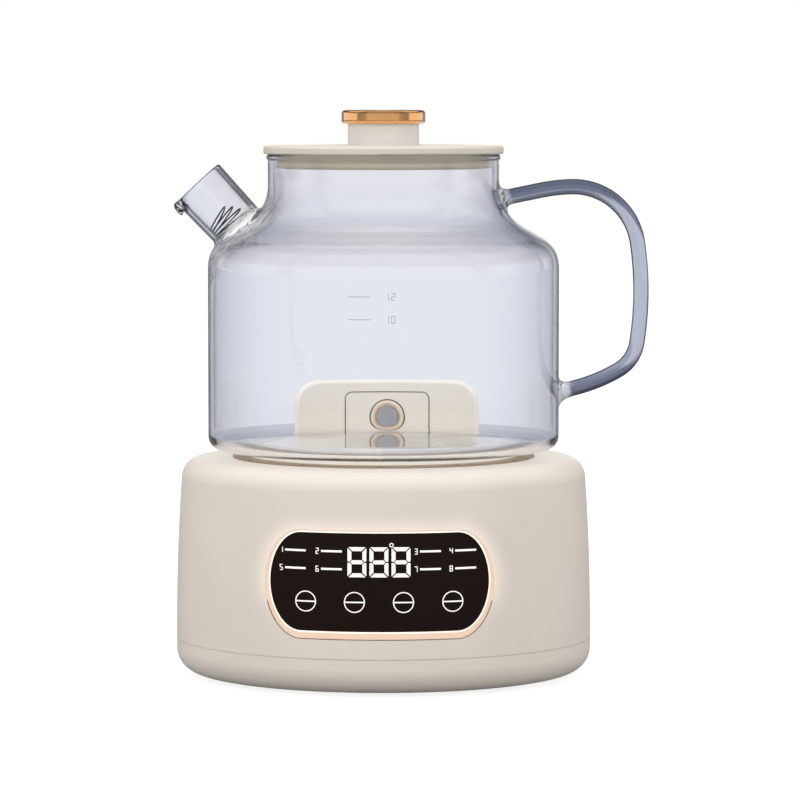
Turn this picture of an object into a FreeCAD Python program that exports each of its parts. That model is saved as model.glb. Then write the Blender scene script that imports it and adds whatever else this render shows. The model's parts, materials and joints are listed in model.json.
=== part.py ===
import FreeCAD, Part
import math
import os

os.makedirs("parts", exist_ok=True)

V = FreeCAD.Vector

# Electric health kettle: a glass pot with a lift-off lid on a round heating base.
# All sizes are millimetres. The origin is on the base's axis, on the surface it stands on.
# +X points to the handle, -X to the spout, -Y to the control panel, +Y to the sensor tower.

# Clearances
fit_gap = 0.15            # between pieces that are pressed or dropped into each other
move_gap = 0.3            # between curved faces that move past each other
over = 1.0                # how far a cutting form runs past what it cuts
tiny = 0.001              # a point this near to a surface lies on it

# Glass pot
pot_r = 79.0
pot_h = 132.8             # from its foot to its rim
pot_corner_r = 6.0
pot_inner_corner_r = 4.7
glass_wall = 2.2
pot_floor_t = 3.2
neck_r = 52.0
neck_h = 26.4             # from where its line meets the shoulder's line up to the rim
shoulder_slope = 30.0     # degrees below horizontal
neck_fillet_r = 22.0
pot_shoulder_r = 14.0
rim_bead_r = 1.5
rim_bead_out = 0.7

# Spout
spout_angle = 47.0        # above horizontal
spout_out = 12.7          # its axis meets the shoulder this far outside the neck
spout_mouth_l = 27.9      # along the axis, from there to the mouth
spout_mouth_r = 13.15
spout_root_r = 11.9
spout_wall = 1.9
spout_lip = 2.6           # how far the pouring lip reaches past the tube
spout_lip_l = 7.0         # length over which the lip grows
spout_lip_power = 5       # how narrow the lip is: it follows a cosine to this power
spout_lip_share = 0.35    # share of the lip's reach at this share of its length before the mouth
spout_root_l = 22.0       # how far the tube is carried inwards before it is trimmed
spout_weld_r = 2.6        # rounding between the spout and the pot's skin

# Coil strainer in the spout's root
strainer_wire_r = 0.35
strainer_r0 = 9.6         # loop radius at the root
strainer_r1 = 5.7         # loop radius at the free end
strainer_turns = 6
strainer_step = 1.15      # between neighbouring loops where they rest on the bore
strainer_tilt0 = -24.0    # degrees by which a loop leans outwards at the root
strainer_tilt1 = 22.0     # and at the free end, so that the loops fan out
strainer_start = 1.6      # along the spout's axis, from the shoulder
strainer_gap = 0.02       # between the wire and the spout's bore, where it rests

# Handle: a glass rod bent in one plane, run clockwise from the neck
rod_r = 3.5
handle_drop = 20.4        # below the rim, where the rod leaves the neck
handle_heading = 11.7     # degrees above horizontal
handle_first_run = 20.0
handle_bends = ((80.0, 10.0), (29.3, 83.2), (150.0, 17.4), (17.1, 50.8), (76.0, 15.3))
weld_r = 7.6
weld_l = 5.5
weld_waist = 0.3          # share of the flare's width that is left at its middle
weld_sink = 0.5           # the flare's thin end lies this far under the rod's skin

# Sensor tower behind the pot
tower_gap = 2.5           # between the pot's side and the tower's face
tower_depth = 11.9        # from the tower's face to the base's widest radius
tower_half_w = 44.0
tower_rise = 29.0         # above the housing's top
tower_root = 12.0         # how far the tower reaches down into the housing's side
tower_corner_r = 11.0
tower_edge_r = 1.6
tower_wall = 1.8
sensor_half_w = 19.75
sensor_rise = 23.4        # top of the sensor panel above the housing's top
sensor_corner_r = 3.0
sensor_flange = 1.2       # width of the flange behind the tower's wall
sensor_flange_t = 1.0

# Temperature probe, pressed against the pot's side by a spring
probe_h = 8.3             # height of its axis above the pot's foot
probe_r = 4.85
probe_edge_r = 0.7
probe_wall = 0.8
probe_flange_r = 5.9
probe_flange_t = 0.6
probe_bore_gap = 0.06
probe_ring_r = 7.95
probe_ring_rise = 0.9
probe_ring_bevel = 0.7
probe_funnel = 1.5        # width and depth of the funnel in the ring's mouth
probe_sleeve_r = 6.75
probe_spring_l = 3.4
probe_spring_r = 4.4
probe_spring_wire_r = 0.2
probe_spring_turns = 2.5
holder_wall = 1.0
holder_back_t = 0.7

# Base housing: a body of revolution with a slightly bellied side
belly_z = 20.0            # height at which the side stands upright
side_curve_r = 1000.0     # radius of the side's long curve
base_top_z = 98.0         # height of the flat top
shoulder_r = 9.0          # rounding between the side and the top
bottom_corner_r = 10.5    # rounding between the side and the underside
housing_wall = 2.4
seam_z = 16.8             # parting line between housing and lower cover
seam_groove = 0.4
lip_h = 4.0               # locating lip of the lower cover, inside the housing
lip_t = 1.6

# Ribs and cooling slots of the lower cover
rib_count = 12
rib_first_angle = 15.0
rib_inner_r = 50.0
rib_t = 1.6
rib_h = 4.0
vent_rows = 7
vent_pitch = 6.0
vent_w = 2.4
vent_l = 26.0
vent_x = 20.0             # the two banks of slots lie this far from the middle

# Feet
foot_h = 1.5              # how far a foot stands below the lower cover
foot_recess = 0.9
foot_r = 8.0
foot_chamfer = 0.5
foot_circle_r = 66.0
foot_count = 4
foot_first_angle = 45.0

# Screws: a cross recess takes these shares of the head
cross_reach = 0.55
cross_width = 0.14
cross_depth = 0.45

# Housing screws and their posts
post_r = 4.0
post_circle_r = 72.0
post_angle = 20.0         # from the X axis, mirrored into the four quadrants
screw_r = 1.5
screw_head_r = 3.0
screw_head_h = 2.0
screw_sink = 0.5
screw_bite = 14.0

# Heating plate and the ring round it
plate_r = 61.0
plate_rise = 3.4          # above the housing's top
plate_edge_r = 0.8
plate_flange = 4.0        # width of the flange under the housing's top
plate_flange_t = 2.5
plate_hole_gap = 0.8
plate_ring_w = 7.0
plate_ring_rise = 0.8
plate_ring_edge_r = 0.5
plate_ring_lip = 1.6
notch_count = 12
notch_w = 2.2
notch_depth = 1.4

# Heat shield: a pressed pan under the plate, held by screws through its ears
shield_depth = 14.0
shield_t = 0.8
shield_flange = 7.0
shield_draft = 3.0
shield_corner_r = 3.0
shield_hole_gap = 2.5     # round each terminal
ear_count = 3
ear_out = 6.0             # screw circle outside the plate's flange
ear_r = 4.2
ear_first_angle = 30.0
plate_boss_r = 3.4
plate_screw_r = 1.2
plate_screw_head_r = 2.4
plate_screw_head_h = 1.6
plate_screw_bite = 1.6

# Heating ring, thermostat and thermal fuse under the plate
element_ring_r = 42.0
element_r = 4.0
element_gap_angle = 50.0
terminal_r = 1.6
terminal_l = 9.0
thermostat_r = 9.0
thermostat_h = 6.0
thermostat_collar = 1.2
thermostat_tab_x = 5.0
thermostat_tab = (0.8, 4.0, 4.0)
fuse_r = 2.2
fuse_l = 14.0
fuse_y = 18.0
fuse_pin_r = 0.5
fuse_pin_l = 4.0

# Control panel: a tinted lens in a lit frame, on the front of the housing
panel_z = 50.55           # height of the lens's centre
panel_flat = 34.0         # half-length of its straight edges
panel_end = 13.5          # how far its rounded ends reach past them
panel_half_h = 21.35
lens_t = 2.0
lens_sink = 0.9           # how far the lens lies below the housing's surface
glow_side = 2.4           # width of the lit frame beside, above and below the lens
glow_top = 1.2
glow_bottom = 3.3
glow_sink = 0.3
glow_ledge = 1.2          # width of the ledge that the lens is glued to
glow_flange = 1.4         # width of the flange behind the housing's wall
glow_flange_t = 1.2

# Display behind the lens
carrier_t = 1.6
carrier_ledge = 2.0       # the carrier's opening is this much smaller than the lit frame's
pillar_r = 2.4
pillar_inset = (4.0, 3.0)
board_t = 1.6
display_board_w = 84.0
display_board_h = 38.0
display_depth = 19.0      # from the housing's inner face to the display board
chip_size = (12.0, 1.2, 12.0)
plug_size = (18.0, 6.0, 7.0)
plug_inset = 2.0
digit_count = 3
digit_pitch = 9.6
digit_h = 13.6
digit_rise = 9.1          # above the lens's centre
digit_margin = 1.0
digit_well_gap = 0.7
digit_well_depth = 0.6
display_gap = 0.4         # between what stands on the board and the lens
touch_count = 4
touch_pitch = 21.25
touch_drop = 8.0          # below the lens's centre
touch_spring_r = 4.0
touch_wall = 0.5

# Power inlet at the back
inlet_z = 34.0
inlet_sink = 6.8          # floor of the flat pocket, inside the housing's side
inlet_w = 27.0
inlet_h = 19.8
inlet_flange = 2.0        # reach of the flange past the body
inlet_flange_t = 2.0
inlet_flange_r = 1.5
inlet_depth = 24.0
inlet_cavity_w = 24.0
inlet_cavity_h = 16.4
inlet_cavity_depth = 16.0
inlet_corner = 3.7        # the two bevelled corners of the socket
pin_w = 2.0
pin_h = 4.0
pin_l = 13.0
pin_tip = 0.5
pin_tail = 7.0
pin_pitch = 7.0
pin_step = 2.0

# Power board and its components
board_w = 96.0
board_d = 62.0
board_rise = 12.1         # above the lower cover's floor
board_y = 6.0
board_post_r = 3.2
board_screw_r = 1.1
board_screw_head_r = 2.6
board_screw_head_h = 1.4
board_screw_bite = 6.0
board_hole_inset = 5.0
relay_size = (19.0, 15.5, 15.8)
relay_corner_r = 1.0
relay_inset = (20.0, 23.0)  # from the board's left and back edges
core_w = 26.0
core_t = 6.0
core_leg = 5.0            # width of its outer legs and yokes
core_middle = 6.0         # width of its middle leg
bobbin_d = 20.0
bobbin_gap = 0.5
transformer_h = 19.0
transformer_at = (14.0, 14.0)
capacitor_r = 6.5
capacitor_h = 20.0
capacitor_top_r = 0.8
capacitor_groove = 0.5
capacitor_at = (-8.0, -8.0)
buzzer_r = 6.0
buzzer_h = 9.0
buzzer_hole_r = 1.2
buzzer_hole_depth = 2.0
buzzer_inset = (16.0, 13.0)  # from the board's right and front edges
terminal_block_size = (20.0, 10.0, 11.0)
terminal_block_at = (0.0, 30.0)
terminal_hole_r = 1.9
terminal_hole_depth = 4.0

# Leads inside the housing
lead_r = 1.1
lead_bend = 8.0
mains_arch = 10.0         # how far the mains leads rise on their way
mains_exit = 5.0          # length of their straight run out of the inlet
heater_foot = (24.0, 30.0)
heater_sway = 9.0         # half the height over which a heater lead slants across
sensor_foot = (-30.0, 33.0)
sensor_lead_x = -28.0     # where the lead rises inside the tower
sensor_lead_z = (50.0, 75.0)
sensor_lead_turn = 9.4    # length of its last straight run, into the probe's holder
ribbon_w = 14.0
ribbon_t = 0.8
ribbon_bend = 6.0
ribbon_inset = 5.0

# Lid
lid_r = 54.0
lid_t = 4.2
lid_edge_r = 1.3
lid_foot_r = 0.8
lid_crown = 0.5
plug_r = 46.0
plug_depth = 6.6
plug_wall = 2.0
plug_edge_r = 1.0
seal_lift = 0.3
seal_corner_r = 1.6
seal_groove_w = 1.0
seal_groove_h = 1.2
seal_groove_r = 0.4
knob_r = 16.0
knob_h = 9.3
knob_sink = 0.3           # the knob stands this deep in the lid
knob_foot = 0.25
knob_foot_h = 1.2
knob_foot_r = 0.5
cap_r = 18.9
cap_t = 6.2
cap_edge_r = 1.6
cap_dish = 0.5
cap_dish_r = 15.0
cap_dish_slope = 1.0
cap_dish_edge_r = 0.4
cap_spigot_r = 8.0
cap_spigot_h = 3.0
knob_screw_r = 2.0
knob_screw_head_r = 4.2
knob_screw_head_h = 2.4
knob_screw_bite = 5.0

# Worked-out heights and radii
tower_inner_r = pot_r + tower_gap
base_r = tower_inner_r + tower_depth
cover_z = foot_h
cover_floor_z = cover_z + housing_wall
board_z = cover_floor_z + board_rise
board_top_z = board_z + board_t
housing_top_under_z = base_top_z - housing_wall
plate_top_z = base_top_z + plate_rise
plate_under_z = housing_top_under_z - plate_flange_t
plate_flange_r = plate_r + plate_flange
ear_circle_r = plate_flange_r + ear_out
shield_r = plate_flange_r - shield_flange
tower_foot_z = base_top_z - tower_root
tower_top_z = base_top_z + tower_rise
sensor_top_z = base_top_z + sensor_rise
sensor_back_r = tower_inner_r + tower_wall + sensor_flange_t
pot_z = plate_top_z
probe_z = pot_z + probe_h
probe_front_y = pot_r + move_gap
probe_flange_y = sensor_back_r
holder_floor_y = probe_flange_y + probe_flange_t + probe_spring_l
holder_r = probe_sleeve_r + fit_gap + holder_wall
rim_z = pot_z + pot_h
neck_edge_z = rim_z - neck_h
handle_top_z = rim_z - handle_drop
spout_axis_r = neck_r + spout_out
spout_axis_z = neck_edge_z - spout_out * math.tan(math.radians(shoulder_slope))
inlet_flange_w = inlet_w + 2 * inlet_flange
inlet_flange_h = inlet_h + 2 * inlet_flange
digit_z = panel_z + digit_rise
touch_z = panel_z - touch_drop
touch_xs = [(i - (touch_count - 1) / 2) * touch_pitch for i in range(touch_count)]
lid_z = rim_z
lid_top_z = lid_z + lid_t
knob_z = lid_top_z - knob_sink
knob_top_z = knob_z + knob_h + knob_sink
seal_r = neck_r - glass_wall - move_gap


def save(name, shape):
    shape.exportStep("parts/" + name + ".step")


def cyl(r, z0, z1, x=0.0, y=0.0):
    return Part.makeCylinder(r, z1 - z0, V(x, y, z0))


def cyl_y(r, y0, y1, x=0.0, z=0.0):
    return Part.makeCylinder(r, y1 - y0, V(x, y0, z), V(0, 1, 0))


def ring(r_out, r_in, z0, z1):
    return cyl(r_out, z0, z1).cut(cyl(r_in, z0, z1))


def block(x0, x1, y0, y1, z0, z1):
    return Part.makeBox(x1 - x0, y1 - y0, z1 - z0, V(x0, y0, z0))


def centred(size, at, z0):
    w, d, h = size
    return block(at[0] - w / 2, at[0] + w / 2, at[1] - d / 2, at[1] + d / 2, z0, z0 + h)


def polar(r, angle, z=0.0):
    a = math.radians(angle)
    return V(r * math.cos(a), r * math.sin(a), z)


def turned(shape, angle):
    copy = shape.copy()
    copy.rotate(V(0, 0, 0), V(0, 0, 1), angle)
    return copy


def joined(shapes):
    return shapes[0].fuse(shapes[1:]).removeSplitter()


def rounded_path(points, radii):
    """Edges of an open path through the points, its inner corners rounded by tangent arcs."""
    edges = []
    last = points[0]
    for i in range(1, len(points) - 1):
        corner = points[i]
        r = radii[i - 1]
        if r == 0:
            edges.append(Part.makeLine(last, corner))
            last = corner
            continue
        before = (points[i - 1] - corner).normalize()
        after = (points[i + 1] - corner).normalize()
        half = before.getAngle(after) / 2
        reach = r / math.tan(half)
        start = corner + before * reach
        end = corner + after * reach
        middle = corner + (before + after).normalize() * (r / math.sin(half) - r)
        if (start - last).Length > 1e-6:
            edges.append(Part.makeLine(last, start))
        edges.append(Part.Arc(start, middle, end).toShape())
        last = end
    edges.append(Part.makeLine(last, points[-1]))
    return edges


def lathe(outline, radii):
    """Solid of revolution about Z. The outline runs from the axis to the axis, as (r, z)."""
    points = [V(r, 0, z) for r, z in outline]
    edges = rounded_path(points, radii)
    edges.append(Part.makeLine(points[-1], points[0]))
    return Part.Face(Part.Wire(edges)).revolve(V(0, 0, 0), V(0, 0, 1), 360)


def ring_lathe(outline, radii):
    """Ring of revolution about Z. The outline is closed by its first point."""
    points = [V(r, 0, z) for r, z in outline + outline[:1]]
    return Part.Face(Part.Wire(rounded_path(points, radii))).revolve(V(0, 0, 0), V(0, 0, 1), 360)


def on_probe_axis(shape):
    """A body of revolution about Z, turned onto the probe's axis, its Z along Y."""
    copy = shape.copy()
    copy.rotate(V(0, 0, 0), V(1, 0, 0), -90)
    copy.translate(V(0, 0, probe_z))
    return copy


def pipe(edges, r):
    """Round bar of radius r along a chain of tangent edges."""
    start = edges[0].valueAt(edges[0].FirstParameter)
    way = edges[0].tangentAt(edges[0].FirstParameter)
    section = Part.Wire(Part.makeCircle(r, start, way))
    return Part.Wire(edges).makePipeShell([section], True, False)


# Forms of the base


def side_r(z):
    """Radius of the base's side at a height."""
    return base_r - side_curve_r + math.sqrt(side_curve_r ** 2 - (z - belly_z) ** 2)


def base_form(offset):
    """The base as one closed form, shrunk inwards by an offset."""
    centre = V(base_r - side_curve_r, 0, belly_z)
    side = side_curve_r - offset

    def corner(r, z):
        """Centre of a corner's arc, inside the side's long curve by its radius."""
        return V(centre.x + math.sqrt((side_curve_r - r) ** 2 - (z - belly_z) ** 2), 0, z)

    low = corner(bottom_corner_r, cover_z + bottom_corner_r)
    high = corner(shoulder_r, base_top_z - shoulder_r)
    low_tangent = centre + (low - centre).normalize() * side
    high_tangent = centre + (high - centre).normalize() * side
    middle = centre + V(side, 0, 0)
    low_end = V(low.x, 0, cover_z + offset)
    high_end = V(high.x, 0, base_top_z - offset)
    diagonal = math.sqrt(0.5)
    low_mid = low + V(diagonal, 0, -diagonal) * (bottom_corner_r - offset)
    high_mid = high + V(diagonal, 0, diagonal) * (shoulder_r - offset)
    foot = V(0, 0, low_end.z)
    head = V(0, 0, high_end.z)
    edges = [
        Part.makeLine(foot, low_end),
        Part.Arc(low_end, low_mid, low_tangent).toShape(),
        Part.Arc(low_tangent, middle, high_tangent).toShape(),
        Part.Arc(high_tangent, high_mid, high_end).toShape(),
        Part.makeLine(high_end, head),
        Part.makeLine(head, foot),
    ]
    return Part.Face(Part.Wire(edges)).revolve(V(0, 0, 0), V(0, 0, 1), 360)


def slab(z0, z1):
    reach = base_r + over
    return block(-reach, reach, -reach, reach, z0, z1)


def shell_between(outer, inner):
    return base_form(outer).cut(base_form(inner))


def half_ellipse(x, z, reach, half_h):
    """Half an ellipse in the plane y = 0, from its top through its tip to its bottom."""
    centre = V(x, 0, z)
    top = V(x, 0, z + half_h)
    tip = V(x + reach, 0, z)
    if half_h > abs(reach):
        return Part.ArcOfEllipse(Part.Ellipse(top, tip, centre), 0, math.pi).toShape()
    return Part.ArcOfEllipse(Part.Ellipse(tip, top, centre), -math.pi / 2, math.pi / 2).toShape()


def panel_prism(side, top, bottom):
    """Prism along Y with the lens's outline, grown at its sides, top and bottom."""
    half_h = panel_half_h + (top + bottom) / 2
    z = panel_z + (top - bottom) / 2
    reach = panel_end + side
    edges = [half_ellipse(s * panel_flat, z, s * reach, half_h) for s in (1, -1)]
    edges += [Part.makeLine(V(-panel_flat, 0, z + s * half_h), V(panel_flat, 0, z + s * half_h))
              for s in (1, -1)]
    wire = Part.Wire(Part.__sortEdges__(edges))
    return Part.Face(wire).extrude(V(0, -base_r - over, 0))


def arched_prism(half_w, top, corner_r, z0):
    """Prism along Y with a front outline that is rounded at its two upper corners."""
    points = [V(-half_w, 0, z0), V(-half_w, 0, top), V(half_w, 0, top), V(half_w, 0, z0)]
    edges = rounded_path(points, [corner_r, corner_r])
    edges.append(Part.makeLine(points[-1], points[0]))
    return Part.Face(Part.Wire(edges)).extrude(V(0, base_r + over, 0))


def tower_prism(inset, z0):
    return arched_prism(tower_half_w - inset, tower_top_z - inset, tower_corner_r - inset, z0)


def sensor_prism(grow):
    return arched_prism(sensor_half_w + grow, sensor_top_z + grow, sensor_corner_r + grow,
                        base_top_z - grow)


# Sensor tower and its probe


def tower_block():
    """The tower as a solid slice of a ring, its rims rounded."""
    outer_r = side_r(tower_foot_z)
    bar = ring(outer_r, tower_inner_r, tower_foot_z, tower_top_z + over)
    solid = bar.common(tower_prism(0, tower_foot_z))
    rims = []
    for edge in solid.Edges:
        reach = [math.hypot(v.X, v.Y) for v in edge.Vertexes]
        on_one_face = max(reach) - min(reach) < tower_edge_r
        at_foot = edge.BoundBox.ZMax < tower_foot_z + over
        if on_one_face and not at_foot:
            rims.append(edge)
    return solid.makeFillet(tower_edge_r, rims)


def make_tower():
    """Hollow wall behind the pot, with a window for the sensor panel."""
    outer_r = side_r(tower_foot_z)
    hollow = ring(outer_r - tower_wall, tower_inner_r + tower_wall, tower_foot_z - over, tower_top_z)
    hollow = hollow.common(tower_prism(tower_wall, tower_foot_z - over))
    window = ring(tower_inner_r + tower_wall + over, tower_inner_r - over, tower_foot_z, tower_top_z)
    return tower_block().cut(hollow).cut(window.common(sensor_prism(fit_gap)))


def make_sensor_panel():
    """Curved plate in the tower's window, with a flange that holds it from behind."""
    face = ring(tower_inner_r + tower_wall, tower_inner_r, tower_foot_z, tower_top_z)
    back = ring(sensor_back_r, tower_inner_r + tower_wall, tower_foot_z, tower_top_z)
    solid = joined([face.common(sensor_prism(0)), back.common(sensor_prism(sensor_flange))])
    return solid.cut(cyl_y(probe_sleeve_r, 0, base_r, 0, probe_z))


def make_probe_ring():
    """Trim ring round the probe: a bevelled rim on the curved panel, over a sleeve."""
    seat_y = math.sqrt(tower_inner_r ** 2 - probe_ring_r ** 2)
    front_y = seat_y - probe_ring_rise
    funnel_y = front_y + probe_funnel
    bore = probe_r + probe_bore_gap
    rim = ring_lathe([(bore, funnel_y), (bore + probe_funnel, front_y),
                      (probe_ring_r - probe_ring_bevel, front_y), (probe_ring_r, seat_y),
                      (probe_ring_r, tower_inner_r + over), (bore, tower_inner_r + over)], [0] * 5)
    behind = ring(base_r, tower_inner_r, probe_z - probe_ring_r - over, probe_z + probe_ring_r + over)
    sleeve = ring_lathe([(bore + funnel_y - seat_y, seat_y), (probe_sleeve_r, seat_y),
                         (probe_sleeve_r, probe_flange_y), (bore, probe_flange_y), (bore, funnel_y)], [0] * 4)
    return joined([on_probe_axis(rim).cut(behind), on_probe_axis(sleeve)])


def make_probe():
    """Metal cap that the pot's side presses back."""
    back_y = probe_flange_y + probe_flange_t
    outline = [(0, probe_front_y), (probe_r, probe_front_y), (probe_r, probe_flange_y),
               (probe_flange_r, probe_flange_y), (probe_flange_r, back_y), (probe_r - probe_wall, back_y),
               (probe_r - probe_wall, probe_front_y + 2 * probe_wall), (0, probe_front_y + 2 * probe_wall)]
    return on_probe_axis(lathe(outline, [probe_edge_r, 0, 0, 0, 0, 0]))


def make_probe_holder():
    """Cup behind the sensor panel that the probe's spring rests in."""
    inner_r = probe_sleeve_r + fit_gap
    back_y = holder_floor_y + holder_back_t
    outline = [(0, holder_floor_y), (inner_r, holder_floor_y), (inner_r, tower_inner_r),
               (holder_r, tower_inner_r), (holder_r, back_y), (0, back_y)]
    cup = on_probe_axis(lathe(outline, [0] * 4))
    return cup.cut(cyl(sensor_back_r, probe_z - holder_r - over, probe_z + holder_r + over))


# Base housing


def post_places():
    at = polar(post_circle_r, post_angle)
    return [(a * at.x, b * at.y) for a in (1, -1) for b in (1, -1)]


def ear_places():
    angles = [ear_first_angle + i * 360 / ear_count for i in range(ear_count)]
    return [(angle, polar(ear_circle_r, angle)) for angle in angles]


def foot_places():
    return [polar(foot_circle_r, foot_first_angle + i * 360 / foot_count) for i in range(foot_count)]


def board_holes():
    x = board_w / 2 - board_hole_inset
    y = board_d / 2 - board_hole_inset
    return [(x, board_y + y), (-x, board_y + y), (x, board_y - y), (-x, board_y - y)]


def inlet_floor_y():
    """Floor of the flat pocket that holds the power inlet's flange."""
    return side_r(inlet_z) - inlet_sink


def inlet_block(grow, y0):
    """Block of the inlet's flange, grown by an amount, from y0 out through the side."""
    w = inlet_flange_w / 2 + grow
    h = inlet_flange_h / 2 + grow
    return block(-w, w, y0, base_r + over, inlet_z - h, inlet_z + h)


def make_upper_housing():
    """Side and top of the base, with its screw posts, the inlet's pocket and the panel's opening."""
    post_top = housing_top_under_z + housing_wall / 2
    additions = [shell_between(0, housing_wall).common(slab(seam_z, base_top_z + over))]
    for x, y in post_places():
        additions.append(cyl(post_r, seam_z, post_top, x, y))
    for angle, at in ear_places():
        additions.append(cyl(plate_boss_r, plate_under_z, post_top, at.x, at.y))
    pocket = inlet_block(2 * housing_wall, inlet_floor_y() - housing_wall)
    additions.append(pocket.common(base_form(0)).common(slab(seam_z, base_top_z)))
    solid = joined(additions)
    solid = solid.cut(cyl(plate_r + plate_hole_gap, housing_top_under_z - over, base_top_z + over))
    solid = solid.cut(panel_prism(glow_side, glow_top, glow_bottom))
    solid = solid.cut(inlet_block(fit_gap, inlet_floor_y()))
    solid = solid.cut(block(-inlet_w / 2, inlet_w / 2, inlet_floor_y() - housing_wall - over, base_r,
                            inlet_z - inlet_h / 2, inlet_z + inlet_h / 2))
    for x, y in post_places():
        solid = solid.cut(cyl(screw_r, seam_z - over, seam_z + screw_bite, x, y))
    for angle, at in ear_places():
        solid = solid.cut(cyl(plate_screw_r, plate_under_z - over, plate_under_z + plate_screw_bite,
                              at.x, at.y))
    foot_ring = ring(base_r + over, tower_inner_r, tower_foot_z, base_top_z + over)
    solid = solid.cut(foot_ring.common(tower_prism(0, tower_foot_z)))
    return solid.cut(ring(base_r + over, side_r(seam_z) - seam_groove, seam_z - over, seam_z + seam_groove))


def cover_ribs():
    """Stiffening ribs on the cover's floor that run out into its side."""
    ribs = []
    for i in range(rib_count):
        rib = block(rib_inner_r, base_r, -rib_t / 2, rib_t / 2, cover_floor_z - housing_wall / 2,
                    cover_floor_z + rib_h)
        ribs.append(turned(rib, rib_first_angle + i * 360 / rib_count).common(base_form(housing_wall / 2)))
    return ribs


def make_lower_cover():
    """Floor of the base, with a lip inside the seam, posts, ribs, foot recesses and vents."""
    inner_r = side_r(seam_z) - housing_wall - fit_gap
    lip_root_z = cover_floor_z + bottom_corner_r
    lip = ring(inner_r, inner_r - lip_t, lip_root_z, seam_z + lip_h)
    web = ring(inner_r + 2 * fit_gap, inner_r - lip_t, lip_root_z, seam_z)
    lip = lip.fuse(web).cut(inlet_block(2 * housing_wall + fit_gap, inlet_floor_y() - housing_wall - fit_gap))
    additions = [shell_between(0, housing_wall).common(slab(0, seam_z)), lip] + cover_ribs()
    for x, y in post_places():
        additions.append(cyl(post_r, cover_floor_z - housing_wall / 2, seam_z, x, y))
    for x, y in board_holes():
        additions.append(cyl(board_post_r, cover_floor_z - housing_wall / 2, board_z, x, y))
    solid = joined(additions)
    for x, y in post_places():
        solid = solid.cut(cyl(screw_r, 0, seam_z + over, x, y))
        solid = solid.cut(cyl(screw_head_r + fit_gap, 0, cover_z + screw_sink + screw_head_h, x, y))
    for x, y in board_holes():
        solid = solid.cut(cyl(board_screw_r, board_z - board_screw_bite, board_z + over, x, y))
    for at in foot_places():
        solid = solid.cut(cyl(foot_r, 0, cover_z + foot_recess, at.x, at.y))
    return solid.cut(vents())


def vents():
    """Cooling slots through the lower cover, in two banks of parallel rows."""
    z0 = cover_z - over
    z1 = cover_floor_z + over
    slots = []
    for side in (-1, 1):
        for i in range(vent_rows):
            y = board_y + (i - (vent_rows - 1) / 2) * vent_pitch
            x = side * vent_x
            bar = block(x - vent_l / 2, x + vent_l / 2, y - vent_w / 2, y + vent_w / 2, z0, z1)
            ends = [cyl(vent_w / 2, z0, z1, x + s * vent_l / 2, y) for s in (-1, 1)]
            slots.append(joined([bar] + ends))
    return Part.makeCompound(slots)


def make_feet():
    feet = []
    for at in foot_places():
        foot = cyl(foot_r, 0, cover_z + foot_recess, at.x, at.y)
        rim = [e for e in foot.Edges if e.BoundBox.ZMax < foot_chamfer and e.Length > foot_r]
        feet.append(foot.makeChamfer(foot_chamfer, rim))
    return Part.makeCompound(feet)


def screw(at, head_r, head_h, shank_r, shank_l, way):
    """Pan-head screw with a cross recess. Its shank points up (way 1) or down (way -1)."""
    head = Part.makeCylinder(head_r, head_h, at, V(0, 0, way))
    shank = Part.makeCylinder(shank_r, shank_l, at + V(0, 0, way * head_h), V(0, 0, way))
    arm = head_r * cross_reach
    slot = head_r * cross_width
    z0, z1 = sorted((at.z, at.z + way * head_h * cross_depth))
    cross = block(at.x - arm, at.x + arm, at.y - slot, at.y + slot, z0, z1)
    cross = cross.fuse(block(at.x - slot, at.x + slot, at.y - arm, at.y + arm, z0, z1))
    return head.fuse(shank).cut(cross)


def make_housing_screws():
    z = cover_z + screw_sink
    shank_l = seam_z + screw_bite - z - screw_head_h
    return Part.makeCompound([screw(V(x, y, z), screw_head_r, screw_head_h, screw_r, shank_l, 1)
                              for x, y in post_places()])


# Heating


def make_heating_plate():
    outline = [(0, plate_under_z), (plate_flange_r, plate_under_z), (plate_flange_r, housing_top_under_z),
               (plate_r, housing_top_under_z), (plate_r, plate_top_z), (0, plate_top_z)]
    return lathe(outline, [0, 0, 0, plate_edge_r])


def make_plate_ring():
    """Flexible trim round the plate, its outer edge notched to let spilt water drain."""
    top = base_top_z + plate_ring_rise
    low = base_top_z - plate_ring_lip
    outer_r = plate_r + plate_ring_w
    hole_r = plate_r + plate_hole_gap
    outline = [(plate_r, low), (hole_r, low), (hole_r, base_top_z), (outer_r, base_top_z), (outer_r, top),
               (plate_r, top)]
    solid = ring_lathe(outline, [0, 0, 0, plate_ring_edge_r, 0])
    for i in range(notch_count):
        notch = block(outer_r - notch_depth, outer_r + over, -notch_w / 2, notch_w / 2,
                      base_top_z - over, top + over)
        solid = solid.cut(turned(notch, i * 360 / notch_count - 90))
    return solid


def make_heat_shield():
    """Pressed steel pan that clamps the plate up against the housing."""
    z = plate_under_z
    low = z - shield_depth
    wide = shield_r + shield_draft
    outline = [(0, low), (shield_r, low), (wide, z - shield_t), (plate_flange_r, z - shield_t),
               (plate_flange_r, z), (wide - shield_t, z), (shield_r - shield_t, low + shield_t),
               (0, low + shield_t)]
    inner_corner_r = shield_corner_r - shield_t
    solid = lathe(outline, [shield_corner_r, shield_t, 0, 0, 2 * shield_t, inner_corner_r])
    for angle, at in ear_places():
        tongue = block(wide, ear_circle_r, -ear_r, ear_r, z - shield_t, z)
        ear = cyl(ear_r, z - shield_t, z, at.x, at.y)
        hole = cyl(plate_screw_r, z - shield_t - over, z + over, at.x, at.y)
        solid = joined([solid, turned(tongue, angle), ear]).cut(hole)
    for x, y in terminal_places():
        solid = solid.cut(cyl(terminal_r + shield_hole_gap, low - over, low + shield_t + over, x, y))
    return solid


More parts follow.
